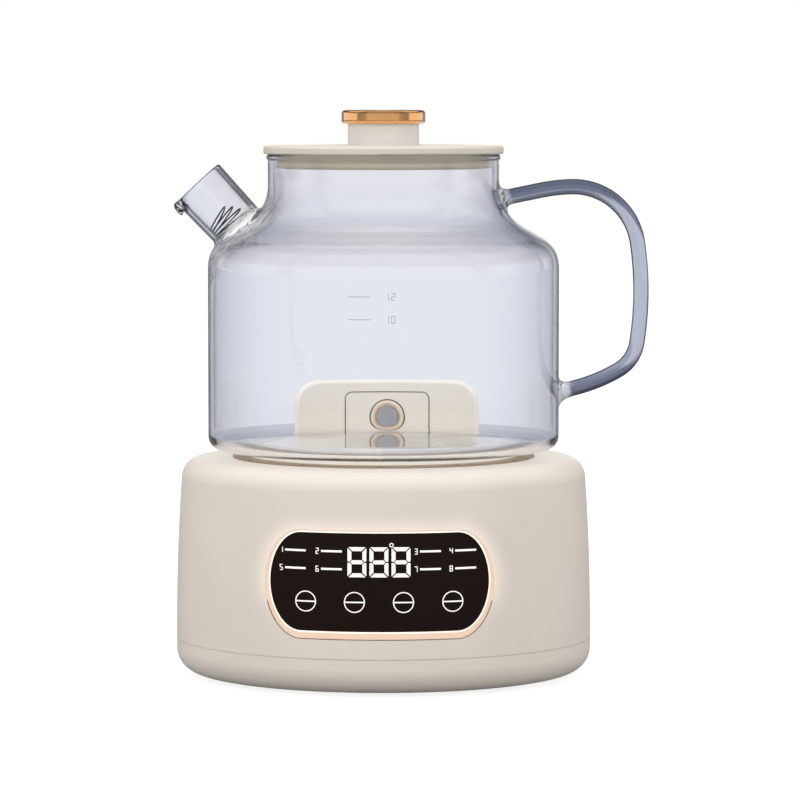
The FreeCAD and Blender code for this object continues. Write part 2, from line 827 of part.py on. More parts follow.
def make_plate_screws():
    z = plate_under_z - shield_t - plate_screw_head_h
    return Part.makeCompound([screw(V(at.x, at.y, z), plate_screw_head_r, plate_screw_head_h, plate_screw_r,
                                    shield_t + plate_screw_bite, 1) for angle, at in ear_places()])


def terminal_places():
    """The two ends of the open heating ring, which turn down as terminals."""
    half = element_gap_angle / 2
    ends = [polar(element_ring_r, 90 + s * half) for s in (-1, 1)]
    return [(p.x, p.y) for p in ends]


def terminal_end_z():
    return plate_under_z - 2 * element_r - terminal_l


def make_heater_element():
    z = plate_under_z - element_r
    sweep = 360 - element_gap_angle
    torus = Part.makeTorus(element_ring_r, element_r, V(0, 0, z), V(0, 0, 1), 0, 360, sweep)
    pieces = [turned(torus, 90 + element_gap_angle / 2)]
    for x, y in terminal_places():
        pieces.append(cyl(terminal_r, terminal_end_z(), z, x, y))
        pieces.append(Part.makeSphere(element_r, V(x, y, z)))
    return joined(pieces)


def make_thermostat():
    """Round can with a collar against the plate and two blade terminals below."""
    z = plate_under_z
    w, d, h = thermostat_tab
    can = cyl(thermostat_r, z - thermostat_h, z)
    collar = cyl(thermostat_r + thermostat_collar, z - thermostat_collar, z)
    tabs = [centred((w, d, h + over), (s * thermostat_tab_x, 0), z - thermostat_h - h) for s in (-1, 1)]
    return joined([can, collar] + tabs)


def make_thermal_fuse():
    z = plate_under_z - fuse_r
    half = fuse_l / 2
    body = Part.makeCylinder(fuse_r, fuse_l, V(-half, -fuse_y, z), V(1, 0, 0))
    pins = Part.makeCylinder(fuse_pin_r, fuse_l + 2 * fuse_pin_l, V(-half - fuse_pin_l, -fuse_y, z),
                             V(1, 0, 0))
    return joined([body, pins])


# Control panel


def make_lens():
    return shell_between(lens_sink, lens_sink + lens_t).common(panel_prism(0, 0, 0))


def frame_prism():
    """Outline of the lit frame with the flange behind the housing's wall."""
    return panel_prism(glow_side + glow_flange, glow_top + glow_flange, glow_bottom + glow_flange)


def make_light_ring():
    """Translucent frame: a lit rim, a ledge under the lens and a flange behind the wall."""
    back = housing_wall + glow_flange_t
    rim = shell_between(glow_sink, back).common(panel_prism(glow_side, glow_top, glow_bottom))
    flange = shell_between(housing_wall, back).common(frame_prism())
    seat = shell_between(-over, lens_sink + lens_t).common(panel_prism(0, 0, 0))
    window = panel_prism(-glow_ledge, -glow_ledge, -glow_ledge)
    return joined([rim, flange]).cut(seat).cut(window)


def make_display_carrier():
    """Curved plate behind the lit frame with four pillars for the flat display board."""
    front = housing_wall + glow_flange_t
    inset = -glow_ledge - carrier_ledge
    plate = shell_between(front, front + carrier_t).common(frame_prism())
    pieces = [plate.cut(panel_prism(inset, inset, inset))]
    for sx in (-1, 1):
        for sz in (-1, 1):
            x = sx * (display_board_w / 2 - pillar_inset[0])
            z = panel_z + sz * (display_board_h / 2 - pillar_inset[1])
            pillar = cyl_y(pillar_r, -base_r, display_board_y(), x, z)
            pieces.append(pillar.common(base_form(front + carrier_t / 2)))
    return joined(pieces)


def display_board_y():
    """Front face of the flat display board."""
    return -(side_r(panel_z) - housing_wall - display_depth)


def make_display_board():
    """Board with the controller chip and the ribbon cable's socket on its back."""
    w = display_board_w / 2
    h = display_board_h / 2
    back = display_board_y() + board_t
    board = block(-w, w, display_board_y(), back, panel_z - h, panel_z + h)
    chip_w, chip_d, chip_h = chip_size
    chip = block(-chip_w / 2, chip_w / 2, back, back + chip_d, panel_z - chip_h / 2, panel_z + chip_h / 2)
    plug_w, plug_d, plug_h = plug_size
    plug_z = panel_z - h + plug_inset
    plug = block(-plug_w / 2, plug_w / 2, back, back + plug_d, plug_z, plug_z + plug_h)
    return joined([board, plug, chip])


def lens_back_y(x, z):
    """Depth of the lens's back at a place on the panel."""
    return -math.sqrt((side_r(z) - lens_sink - lens_t) ** 2 - x ** 2)


def make_digit_display():
    """Digit module: it fills the depth from the board to just behind the lens."""
    half_w = digit_count * digit_pitch / 2 + digit_margin
    half_h = digit_h / 2 + digit_margin
    front = lens_back_y(half_w, digit_z + half_h) + display_gap
    body = block(-half_w, half_w, front, display_board_y(), digit_z - half_h, digit_z + half_h)
    well_w = digit_pitch / 2 - digit_well_gap
    well_h = digit_h / 2 - digit_well_gap
    wells = []
    for i in range(digit_count):
        x = (i - (digit_count - 1) / 2) * digit_pitch
        wells.append(block(x - well_w, x + well_w, front - over, front + digit_well_depth,
                           digit_z - well_h, digit_z + well_h))
    return body.cut(Part.makeCompound(wells))


def make_touch_springs():
    """Sprung sleeves that carry each touch key's field from the board to the lens."""
    sleeves = []
    for x in touch_xs:
        front = lens_back_y(abs(x) + touch_spring_r, touch_z + touch_spring_r) + display_gap
        outer = cyl_y(touch_spring_r, front, display_board_y(), x, touch_z)
        sleeves.append(outer.cut(cyl_y(touch_spring_r - touch_wall, front, display_board_y(), x, touch_z)))
    return Part.makeCompound(sleeves)


# Power supply


def make_power_board():
    board = centred((board_w, board_d, board_t), (0, board_y), board_z)
    for x, y in board_holes():
        board = board.cut(cyl(board_screw_r, board_z - over, board_top_z + over, x, y))
    return board


def make_board_screws():
    z = board_top_z + board_screw_head_h
    shank_l = board_t + board_screw_bite
    return Part.makeCompound([screw(V(x, y, z), board_screw_head_r, board_screw_head_h, board_screw_r,
                                    shank_l, -1) for x, y in board_holes()])


def make_relay():
    at = (relay_inset[0] - board_w / 2, board_y + board_d / 2 - relay_inset[1])
    box = centred(relay_size, at, board_top_z)
    uprights = [e for e in box.Edges if e.BoundBox.ZLength > relay_size[2] / 2]
    return box.makeFillet(relay_corner_r, uprights)


def make_transformer():
    """Wound bobbin in an E-shaped core that stands on the board."""
    x, y = transformer_at
    core = centred((core_w, core_t, transformer_h), transformer_at, board_top_z)
    window_w = (core_w - core_middle) / 2 - core_leg
    window_h = transformer_h - 2 * core_leg
    window_z = board_top_z + core_leg
    for s in (-1, 1):
        at = (x + s * (core_middle + window_w) / 2, y)
        core = core.cut(centred((window_w, bobbin_d, window_h), at, window_z))
    bobbin_w = core_middle + 2 * window_w - bobbin_gap
    bobbin = centred((bobbin_w, bobbin_d, window_h - bobbin_gap), transformer_at, window_z)
    foot = centred((bobbin_w, bobbin_d, core_leg), transformer_at, board_top_z)
    return joined([core, bobbin, foot])


def make_capacitor():
    """Can with a rounded top and the rolled groove near its foot."""
    x, y = capacitor_at
    top_z = board_top_z + capacitor_h
    groove_z = board_top_z + capacitor_r / 3
    can = cyl(capacitor_r, board_top_z, top_z, x, y)
    can = can.makeFillet(capacitor_top_r, [e for e in can.Edges if e.BoundBox.ZMin > top_z - over])
    groove = ring(capacitor_r + over, capacitor_r - capacitor_groove, groove_z, groove_z + capacitor_groove)
    groove.translate(V(x, y, 0))
    return can.cut(groove)


def make_buzzer():
    z = board_top_z + buzzer_h
    at = (board_w / 2 - buzzer_inset[0], board_y - board_d / 2 + buzzer_inset[1])
    can = cyl(buzzer_r, board_top_z, z, *at)
    return can.cut(cyl(buzzer_hole_r, z - buzzer_hole_depth, z + over, *at))


def terminal_block_holes():
    """Where the two mains leads enter the terminal block."""
    x, y = terminal_block_at
    return [(x + s * terminal_block_size[0] / 4, y) for s in (-1, 1)]


def make_terminal_block():
    top = board_top_z + terminal_block_size[2]
    body = centred(terminal_block_size, terminal_block_at, board_top_z)
    for x, y in terminal_block_holes():
        body = body.cut(cyl(terminal_hole_r, top - terminal_hole_depth, top + over, x, y))
    return body


def socket_prism(y0, y1):
    """Prism along Y with the socket's outline, two of its corners bevelled."""
    w = inlet_cavity_w / 2
    h = inlet_cavity_h / 2
    low = inlet_z - h
    high = inlet_z + h
    c = inlet_corner
    points = [V(-w, y0, low), V(w, y0, low), V(w, y0, high - c), V(w - c, y0, high),
              V(c - w, y0, high), V(-w, y0, high - c)]
    return Part.Face(Part.makePolygon(points + points[:1])).extrude(V(0, y1 - y0, 0))


def pin_places():
    return [(-pin_pitch, inlet_z - pin_step), (0.0, inlet_z + pin_step), (pin_pitch, inlet_z - pin_step)]


def inlet_face_y():
    return inlet_floor_y() + inlet_flange_t


def pin_tail_y():
    return inlet_face_y() - inlet_depth - pin_tail


def make_inlet_pins():
    tip_y = inlet_face_y() - inlet_cavity_depth + pin_l
    pins = []
    for x, z in pin_places():
        blade = block(x - pin_w / 2, x + pin_w / 2, pin_tail_y(), tip_y, z - pin_h / 2, z + pin_h / 2)
        ends = [e for e in blade.Edges if e.BoundBox.YMin > tip_y - pin_tip]
        pins.append(blade.makeChamfer(pin_tip, ends))
    return Part.makeCompound(pins)


def make_power_inlet():
    """Appliance inlet: a flanged body with a bevelled socket round three pins."""
    floor_y = inlet_floor_y()
    face_y = inlet_face_y()
    body = block(-inlet_w / 2, inlet_w / 2, face_y - inlet_depth, floor_y, inlet_z - inlet_h / 2,
                 inlet_z + inlet_h / 2)
    flange = block(-inlet_flange_w / 2, inlet_flange_w / 2, floor_y, face_y,
                   inlet_z - inlet_flange_h / 2, inlet_z + inlet_flange_h / 2)
    corners = [e for e in flange.Edges if e.BoundBox.YLength > inlet_flange_t / 2]
    solid = joined([body, flange.makeFillet(inlet_flange_r, corners)])
    return solid.cut(socket_prism(face_y - inlet_cavity_depth, face_y + over)).cut(make_inlet_pins())


def lead(points):
    return pipe(rounded_path(points, [lead_bend] * (len(points) - 2)), lead_r)


def make_mains_leads():
    """Line and neutral, from the inlet's outer pins to the terminal block on the board."""
    z_end = board_top_z + terminal_block_size[2] - terminal_hole_depth
    pins = [pin_places()[0], pin_places()[2]]
    leads = []
    for (pin_x, pin_z), (x, y) in zip(pins, terminal_block_holes()):
        start = V(pin_x, pin_tail_y(), pin_z)
        leads.append(lead([start, start - V(0, mains_exit, 0), V(x, y, pin_z + mains_arch), V(x, y, z_end)]))
    return Part.makeCompound(leads)


def make_heater_leads():
    """From the board up to the heating ring's terminals."""
    middle = (board_top_z + terminal_end_z()) / 2
    foot_x, foot_y = heater_foot
    leads = []
    for (x, y), side in zip(terminal_places(), (1, -1)):
        foot = V(side * foot_x, foot_y, board_top_z)
        leads.append(lead([foot, V(foot.x, foot.y, middle - heater_sway), V(x, y, middle + heater_sway),
                           V(x, y, terminal_end_z())]))
    return Part.makeCompound(leads)


def make_sensor_lead():
    """From the board up inside the housing's back, into the tower and across to the probe's holder."""
    x, y = sensor_foot
    low, high = sensor_lead_z
    cavity_r = (tower_inner_r + side_r(tower_foot_z)) / 2
    rise = V(sensor_lead_x, math.sqrt(cavity_r ** 2 - sensor_lead_x ** 2), high)
    end_y = math.sqrt(cavity_r ** 2 - holder_r ** 2)
    turn_x = -holder_r - sensor_lead_turn
    return lead([V(x, y, board_top_z), V(x, y, low), rise, V(rise.x, rise.y, probe_z),
                 V(turn_x, end_y, probe_z), V(-holder_r, end_y, probe_z)])


def make_ribbon_cable():
    """Flat cable from the power board to the display board."""
    w = ribbon_w / 2
    t = ribbon_t / 2
    plug_w, plug_d, plug_h = plug_size
    y0 = board_y - board_d / 2 + ribbon_inset
    y1 = display_board_y() + board_t + plug_d
    z1 = panel_z - display_board_h / 2 + plug_inset + plug_h / 2
    path = rounded_path([V(0, y0, board_top_z), V(0, y0, z1), V(0, y1, z1)], [ribbon_bend])
    corners = [V(-w, y0 - t, board_top_z), V(w, y0 - t, board_top_z), V(w, y0 + t, board_top_z),
               V(-w, y0 + t, board_top_z)]
    return Part.Wire(path).makePipeShell([Part.makePolygon(corners + corners[:1])], True, False)


# Glass pot


def pot_outline(offset, floor, corner_r):
    """Half outline of the pot up to its neck, as points and corner radii, shrunk by an offset."""
    r = pot_r - offset
    neck = neck_r - offset
    slope = math.radians(shoulder_slope)
    neck_z = neck_edge_z - offset / math.cos(slope) + offset * math.tan(slope)
    wall_z = neck_z - (r - neck) * math.tan(slope)
    points = [(0, pot_z + floor), (r, pot_z + floor), (r, wall_z), (neck, neck_z)]
    return points, [corner_r, pot_shoulder_r - offset, neck_fillet_r + offset]


def pot_form():
    """The pot as a filled form, without its rim."""
    points, radii = pot_outline(0, 0, pot_corner_r)
    return lathe(points + [(neck_r, rim_z), (0, rim_z)], radii + [0])


def pot_cavity():
    points, radii = pot_outline(glass_wall, pot_floor_t, pot_inner_corner_r)
    neck = neck_r - glass_wall
    return lathe(points + [(neck, rim_z + over), (0, rim_z + over)], radii + [0])


def spout_frame():
    """Origin where the axis meets the shoulder, way out to the mouth and the way down across it."""
    a = math.radians(spout_angle)
    origin = V(-spout_axis_r, 0, spout_axis_z)
    out = V(-math.cos(a), 0, math.sin(a))
    down = V(-math.sin(a), 0, -math.cos(a))
    return origin, out, down


def spout_tube_r(along):
    """Outer radius of the tapered tube at a distance along its axis."""
    share = (along + spout_root_l) / (spout_mouth_l + spout_root_l)
    return spout_root_r + (spout_mouth_r - spout_root_r) * share


def spout_section(along, r, lip):
    """Closed section of the spout, a circle drawn out on its lower side into a lip."""
    origin, out, down = spout_frame()
    centre = origin + out * along
    side = V(0, 1, 0)
    if lip == 0:
        return Part.Wire(Part.makeCircle(r, centre, out))
    points = []
    count = 24
    for i in range(count):
        a = 2 * math.pi * i / count
        pull = max(0.0, math.cos(a)) ** spout_lip_power * lip
        points.append(centre + down * (math.cos(a) * r + pull) + side * (math.sin(a) * r))
    curve = Part.BSplineCurve()
    curve.interpolate(points, PeriodicFlag=True)
    return Part.Wire(curve.toShape())


def spout_tube(grow):
    """Tapered tube from inside the pot, and the mouth where it is drawn into the pouring lip."""
    origin, out, down = spout_frame()
    lip_start = spout_mouth_l - spout_lip_l
    lip_middle = spout_mouth_l - spout_lip_l * spout_lip_share
    r_start = spout_root_r + grow
    r_lip = spout_tube_r(lip_start) + grow
    tube = Part.makeCone(r_start, r_lip, spout_root_l + lip_start, origin - out * spout_root_l, out)
    sections = [
        spout_section(lip_start, r_lip, 0),
        spout_section(lip_middle, spout_tube_r(lip_middle) + grow, spout_lip * spout_lip_share),
        spout_section(spout_mouth_l, spout_mouth_r + grow, spout_lip),
    ]
    return tube, Part.makeLoft(sections, True, False)


def largest(shape):
    return max(shape.Solids, key=lambda s: s.Volume)


def root_edges(solid):
    """Edges where the spout's tube meets the pot's skin."""
    origin, out, down = spout_frame()
    found = []
    for edge in solid.Edges:
        at = edge.valueAt((edge.FirstParameter + edge.LastParameter) / 2)
        along = (at - origin).dot(out)
        on_tube = abs((at - origin - out * along).Length - spout_tube_r(along)) < tiny
        if on_tube and isinstance(edge.Curve, Part.BSplineCurve):
            found.append(edge)
    return found


def make_glass_spout():
    """Tube and mouth, with the rounded weld where they grow out of the pot's shoulder."""
    tube, mouth = spout_tube(0)
    bore_tube, bore_mouth = spout_tube(-spout_wall)
    pot = pot_form()
    welded = joined([pot, tube])
    welded = welded.makeFillet(spout_weld_r, root_edges(welded))
    outer = largest(joined([largest(welded.cut(pot)), mouth]).cut(pot))
    return outer.cut(bore_tube).cut(bore_mouth)


def make_glass_body():
    """Blown pot with a beaded rim and the hole that the spout grows from."""
    bead = Part.makeTorus(neck_r + rim_bead_out - rim_bead_r, rim_bead_r, V(0, 0, rim_z - rim_bead_r))
    bore_tube, bore_mouth = spout_tube(-spout_wall)
    return joined([pot_form(), bead]).cut(pot_cavity()).cut(bore_tube)


def handle_edges():
    """Centre line of the handle: a straight run, tangent bends and a last run to the pot's side."""
    at = V(neck_r - glass_wall / 2, 0, handle_top_z)
    heading = handle_heading
    edges = []

    def way(angle):
        a = math.radians(angle)
        return V(math.cos(a), 0, math.sin(a))

    end = at + way(heading) * handle_first_run
    edges.append(Part.makeLine(at, end))
    at = end
    for r, turn in handle_bends:
        centre = at + way(heading - 90) * r
        middle = centre - way(heading - 90 - turn / 2) * r
        end = centre - way(heading - 90 - turn) * r
        edges.append(Part.Arc(at, middle, end).toShape())
        at = end
        heading -= turn
    last = way(heading)
    run = (pot_r - glass_wall / 2 - at.x) / last.x
    edges.append(Part.makeLine(at, at + last * run))
    return edges


def weld_flare(at, way):
    """Trumpet of glass where the rod meets the wall."""
    tip_r = rod_r - weld_sink
    waist = V(tip_r + (weld_r - tip_r) * weld_waist, 0, weld_l * weld_waist)
    foot = V(weld_r, 0, 0)
    end = V(tip_r, 0, weld_l)
    edges = [Part.makeLine(V(0, 0, 0), foot), Part.Arc(foot, waist, end).toShape(),
             Part.makeLine(end, V(0, 0, weld_l)), Part.makeLine(V(0, 0, weld_l), V(0, 0, 0))]
    flare = Part.Face(Part.Wire(edges)).revolve(V(0, 0, 0), V(0, 0, 1), 360)
    flare.Placement = FreeCAD.Placement(at, FreeCAD.Rotation(V(0, 0, 1), way))
    return flare


def make_glass_handle():
    edges = handle_edges()
    start = edges[0].valueAt(edges[0].FirstParameter)
    start_way = edges[0].tangentAt(edges[0].FirstParameter)
    end = edges[-1].valueAt(edges[-1].LastParameter)
    end_way = edges[-1].tangentAt(edges[-1].LastParameter) * -1
    solid = joined([pipe(edges, rod_r), weld_flare(start, start_way), weld_flare(end, end_way)])
    return largest(solid.cut(pot_form()))


# Coils


def biarc(p0, t0, p1, t1):
    """Two tangent arcs from p0 along t0 to p1 along t1."""
    v = p1 - p0
    a = 2 * (1 - t0.dot(t1))
    b = 2 * v.dot(t0 + t1)
    c = -v.dot(v)
    if a < 1e-9:
        d = -c / b
    else:
        d = (-b + math.sqrt(b * b - 4 * a * c)) / (2 * a)
    joint = (p0 + p1 + (t0 - t1) * d) * 0.5
    return [tangent_arc(p0, t0, joint, False), tangent_arc(p1, t1 * -1, joint, True)]


def tangent_arc(p, t, q, backwards):
    """Arc that leaves p along t and ends at q, drawn from p to q or backwards."""
    chord = q - p
    across = chord - t * chord.dot(t)
    n = across.normalize()
    centre = p + n * (chord.dot(chord) / (2 * chord.dot(n)))
    middle = centre + ((p - centre) + (q - centre)).normalize() * (p - centre).Length
    if backwards:
        return Part.Arc(q, middle, p).toShape()
    return Part.Arc(p, middle, q).toShape()


def coil_edges(point_at, turns):
    """Biarcs of a quarter turn each along a winding line."""
    small = 1e-4
    places = []
    for i in range(round(turns * 4) + 1):
        t = i / 4
        way = (point_at(t + small) - point_at(t - small)).normalize()
        places.append((point_at(t), way))
    edges = []
    for (p0, t0), (p1, t1) in zip(places, places[1:]):
        edges.extend(biarc(p0, t0, p1, t1))
    return edges


def least_gap(point_at, turns, wire_r):
    """Least distance between the surfaces of neighbouring turns, from points on the line."""
    per_turn = 24
    points = [point_at(i / per_turn) for i in range(int(turns * per_turn) + 1)]
    gaps = [(p - q).Length for i, p in enumerate(points) for q in points[i + per_turn // 2:]]
    return min(gaps) - 2 * wire_r


def strainer_place(turn):
    """Distance along the spout's axis and across it, below the loops' feet and sideways."""
    share = turn / strainer_turns
    tilt = math.radians(strainer_tilt0 + (strainer_tilt1 - strainer_tilt0) * share)
    r = strainer_r0 + (strainer_r1 - strainer_r0) * share ** 2
    phase = 2 * math.pi * turn
    rise = r * (1 - math.cos(phase))
    along = strainer_start + strainer_step * turn + rise * math.sin(tilt)
    return along, -rise * math.cos(tilt), r * math.sin(phase)


def strainer_drop():
    """How far below the spout's axis the loops' feet lie, so that the coil rests on the bore."""
    per_turn = 24
    room = []
    for i in range(strainer_turns * per_turn + 1):
        along, below, aside = strainer_place(i / per_turn)
        reach = spout_tube_r(along) - spout_wall - strainer_wire_r - strainer_gap
        room.append(math.sqrt(reach ** 2 - aside ** 2) - below)
    return min(room)


def strainer_point(turn):
    """Point on the strainer's line after so many turns."""
    origin, out, down = spout_frame()
    along, below, aside = strainer_place(turn)
    return origin + out * along + down * (below + strainer_drop()) + V(0, aside, 0)


def make_coil_filter():
    gap = least_gap(strainer_point, strainer_turns, strainer_wire_r)
    print("strainer coil, least gap between turns:", round(gap, 2), "mm")
    return pipe(coil_edges(strainer_point, strainer_turns), strainer_wire_r)


def probe_spring_point(turn):
    """Point on the probe's spring line, wound about the Y axis."""
    start_y = probe_flange_y + probe_flange_t + probe_spring_wire_r
    run = probe_spring_l - 2 * probe_spring_wire_r
    a = 2 * math.pi * turn
    return V(probe_spring_r * math.cos(a), start_y + run * turn / probe_spring_turns,
             probe_z + probe_spring_r * math.sin(a))


def make_probe_spring():
    gap = least_gap(probe_spring_point, probe_spring_turns, probe_spring_wire_r)
    print("probe spring, least gap between turns:", round(gap, 2), "mm")
    return pipe(coil_edges(probe_spring_point, probe_spring_turns), probe_spring_wire_r)


# Lid


def make_lid_disc():
    outline = [(0, lid_z), (lid_r, lid_z), (lid_r, lid_top_z - lid_crown), (0, lid_top_z)]
    solid = lathe(outline, [lid_foot_r, lid_edge_r])
    solid = solid.cut(cyl(knob_r + knob_foot, knob_z, lid_top_z + over))
    return solid.cut(cyl(knob_screw_r, lid_z - over, lid_top_z + over))


def make_lid_plug():
    """Shallow cup under the lid that carries the seal."""
    bottom = lid_z - plug_depth
    inner_r = plug_r - plug_wall
    outline = [(0, bottom), (plug_r, bottom), (plug_r, lid_z), (inner_r, lid_z),
               (inner_r, bottom + plug_wall), (0, bottom + plug_wall)]
    return lathe(outline, [plug_edge_r, 0, 0, plug_edge_r])


def make_lid_seal():
    """Soft ring round the plug, with a groove between its two lips."""
    z0 = lid_z - plug_depth + seal_lift
    groove_z = (z0 + lid_z) / 2
    low = groove_z - seal_groove_h / 2
    high = groove_z + seal_groove_h / 2
    groove_r = seal_r - seal_groove_w
    outline = [(plug_r, z0), (seal_r, z0), (seal_r, low), (groove_r, low), (groove_r, high),
               (seal_r, high), (seal_r, lid_z), (plug_r, lid_z)]
    return ring_lathe(outline, [seal_corner_r, 0, seal_groove_r, seal_groove_r, 0, 0, 0])


def make_knob():
    outline = [(0, knob_z), (knob_r + knob_foot, knob_z), (knob_r, knob_z + knob_foot_h),
               (knob_r, knob_top_z), (0, knob_top_z)]
    solid = lathe(outline, [0, knob_foot_r, 0])
    solid = solid.cut(cyl(cap_spigot_r, knob_top_z - cap_spigot_h, knob_top_z + over))
    return solid.cut(cyl(knob_screw_r, knob_z - over, knob_z + knob_screw_bite))


def make_knob_cap():
    """Metal button on the knob: rounded edges and a shallow dish in its top."""
    z0 = knob_top_z
    z1 = z0 + cap_t
    outline = [(0, z0 - cap_spigot_h), (cap_spigot_r, z0 - cap_spigot_h), (cap_spigot_r, z0), (cap_r, z0),
               (cap_r, z1), (cap_dish_r + cap_dish_slope, z1), (cap_dish_r, z1 - cap_dish),
               (0, z1 - cap_dish)]
    return lathe(outline, [0, 0, cap_edge_r, cap_edge_r, cap_dish_edge_r, cap_dish_edge_r])


def make_knob_screw():
    z = lid_z - knob_screw_head_h
    return screw(V(0, 0, z), knob_screw_head_r, knob_screw_head_h, knob_screw_r,
                 knob_z + knob_screw_bite - lid_z, 1)


PIECES = {
    "upper_housing": make_upper_housing,
    "lower_cover": make_lower_cover,
    "rubber_feet": make_feet,
    "housing_screws": make_housing_screws,
    "sensor_tower": make_tower,
    "sensor_panel": make_sensor_panel,
    "probe_ring": make_probe_ring,
    "probe_cap": make_probe,
    "probe_spring": make_probe_spring,
    "probe_holder": make_probe_holder,
    "heating_plate": make_heating_plate,
    "plate_ring": make_plate_ring,
    "heat_shield": make_heat_shield,
    "plate_screws": make_plate_screws,
    "heater_element": make_heater_element,
    "thermostat": make_thermostat,
    "thermal_fuse": make_thermal_fuse,
    "panel_lens": make_lens,
    "light_ring": make_light_ring,
    "display_carrier": make_display_carrier,
    "display_board": make_display_board,
    "digit_display": make_digit_display,
    "touch_springs": make_touch_springs,
    "power_board": make_power_board,
    "board_screws": make_board_screws,
    "relay": make_relay,
    "transformer": make_transformer,
    "capacitor": make_capacitor,
    "buzzer": make_buzzer,
    "terminal_block": make_terminal_block,
    "power_inlet": make_power_inlet,
    "inlet_pins": make_inlet_pins,
    "mains_leads": make_mains_leads,
    "heater_leads": make_heater_leads,
    "sensor_lead": make_sensor_lead,
    "ribbon_cable": make_ribbon_cable,
    "glass_body": make_glass_body,
    "glass_spout": make_glass_spout,
    "glass_handle": make_glass_handle,
    "coil_filter": make_coil_filter,
    "lid_disc": make_lid_disc,
    "lid_plug": make_lid_plug,
    "lid_seal": make_lid_seal,
    "knob": make_knob,
    "knob_cap": make_knob_cap,
    "knob_screw": make_knob_screw,
}

for name, make in PIECES.items():
    save(name, make())
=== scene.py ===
import bmesh
import bpy
import functools
import json
import math
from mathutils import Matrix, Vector, geometry, noise


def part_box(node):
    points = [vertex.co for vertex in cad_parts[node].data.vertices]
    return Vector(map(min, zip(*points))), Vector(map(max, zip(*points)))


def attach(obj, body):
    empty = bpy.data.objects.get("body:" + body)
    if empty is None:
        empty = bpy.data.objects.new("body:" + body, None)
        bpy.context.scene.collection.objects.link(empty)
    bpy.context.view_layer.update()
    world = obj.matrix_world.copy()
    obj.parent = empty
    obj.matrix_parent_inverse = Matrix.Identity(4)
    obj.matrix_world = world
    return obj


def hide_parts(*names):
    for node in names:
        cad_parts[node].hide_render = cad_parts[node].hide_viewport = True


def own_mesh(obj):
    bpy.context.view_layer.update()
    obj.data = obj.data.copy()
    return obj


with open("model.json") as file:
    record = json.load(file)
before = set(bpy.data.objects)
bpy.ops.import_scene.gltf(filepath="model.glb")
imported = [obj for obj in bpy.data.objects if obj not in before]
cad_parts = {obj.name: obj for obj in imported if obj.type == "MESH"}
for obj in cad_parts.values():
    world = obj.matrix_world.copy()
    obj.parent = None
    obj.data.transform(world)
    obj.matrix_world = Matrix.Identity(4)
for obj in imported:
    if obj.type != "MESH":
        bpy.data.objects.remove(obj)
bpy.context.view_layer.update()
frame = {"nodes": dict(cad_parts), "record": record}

mm = 0.001

# Sizes read from the frame


def span(node, axis):
    low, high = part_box(node)
    return low[axis], high[axis]


pot_z, rim_z = span("glass_body", 2)
pot_r = span("glass_body", 1)[1]
base_r = span("upper_housing", 0)[1]
base_top_z = span("upper_housing", 2)[1]
panel_low, panel_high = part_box("panel_lens")
panel_z = (panel_low.z + panel_high.z) / 2
panel_half_h = (panel_high.z - panel_low.z) / 2
panel_half_w = (panel_high.x - panel_low.x) / 2
light_sink = base_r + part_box("light_ring")[0].y
sensor_low, sensor_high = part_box("sensor_panel")
ring_low, ring_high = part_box("probe_ring")

# Glass pot
pot_corner_r = 6 * mm
pot_inner_corner_r = 4.7 * mm
glass_wall = 2.2 * mm
pot_floor_t = 2.2 * mm
neck_r = 52 * mm
neck_edge_z = rim_z - 26.4 * mm
shoulder_slope = math.radians(30)
neck_fillet_r = 22 * mm
pot_shoulder_r = 14 * mm
rim_bead_r = 1.5 * mm
rim_bead_out = 0.7 * mm
glass_columns = 240
row_length = 3 * mm
short_row = 0.15 * mm
arc_step = math.radians(6)

# Spout
spout_angle = math.radians(47)
spout_out = 12.7 * mm
spout_mouth_l = 27.9 * mm
spout_mouth_r = 13.15 * mm
spout_root_r = 11.9 * mm
spout_root_l = 22 * mm
spout_wall = 1.9 * mm
spout_fillet = 2.6 * mm
spout_inner_fillet = 2.2 * mm
spout_sides = 96
spout_row = 1.0 * mm
patch_cell = 0.9 * mm
patch_margin = 3
patch_clear = 0.6
search_steps = 40
spout_search = 20 * mm
axis_r = 0.001 * mm
beak_angle = math.radians(46)
beak_profile = ((-7, 0), (-1.7, 0.2), (-2.3, 0.6), (-4.4, 0.75), (-5.5, 0.95), (-5.9, 1.6), (-5.2, 2.3),
                (-3.2, 2.45), (-1.2, 2.1), (0.3, 1.1), (0.5, -0.2), (0, -1.2), (-0.95, -1.9))

# Handle
rod_r = 3.5 * mm
handle_top_z = rim_z - 20.4 * mm
handle_heading = math.radians(11.7)
handle_first_run = 20 * mm
handle_bends = ((80, 10), (29.3, 83.2), (150, 17.4), (17.1, 50.8), (76, 15.3))
handle_step = 1.2 * mm
weld_r = 7.6 * mm
weld_l = 5.5 * mm
rod_sides = 48
rod_search = (12 * mm, -8 * mm)
fillet_rows = 8

# Side of the base
belly_z = 20 * mm
side_curve_r = 1000 * mm

# Panel
lens_sink = 0.9 * mm
mark_lift = 0.06 * mm
mark_t = 0.12 * mm
mark_step = 1.0 * mm
panel_flat = 34 * mm
glow_side = 2.4 * mm
glow_top = 1.2 * mm
glow_bottom = 3.3 * mm
digit_z = panel_z + 8.85 * mm
digit_h = 13.0 * mm
digit_w = 8.15 * mm
digit_pitch = 9.53 * mm
digit_count = 3
segment_w = 1.7 * mm
segment_gap = 0.4 * mm
degree_x = 5.4 * mm
degree_r = 0.95 * mm
degree_w = 0.38 * mm
touch_z = panel_z - 8.55 * mm
touch_pitch = 21.25 * mm
touch_count = 4
touch_ring_r = 4.1 * mm
touch_ring_w = 0.45 * mm
touch_bar_h = 0.6 * mm
label_rows = (13.4 * mm, 5.7 * mm)
label_x = (-37.6 * mm, -21.8 * mm, 21.0 * mm, 36.2 * mm)
label_w = 11.5 * mm
label_h = 2.6 * mm
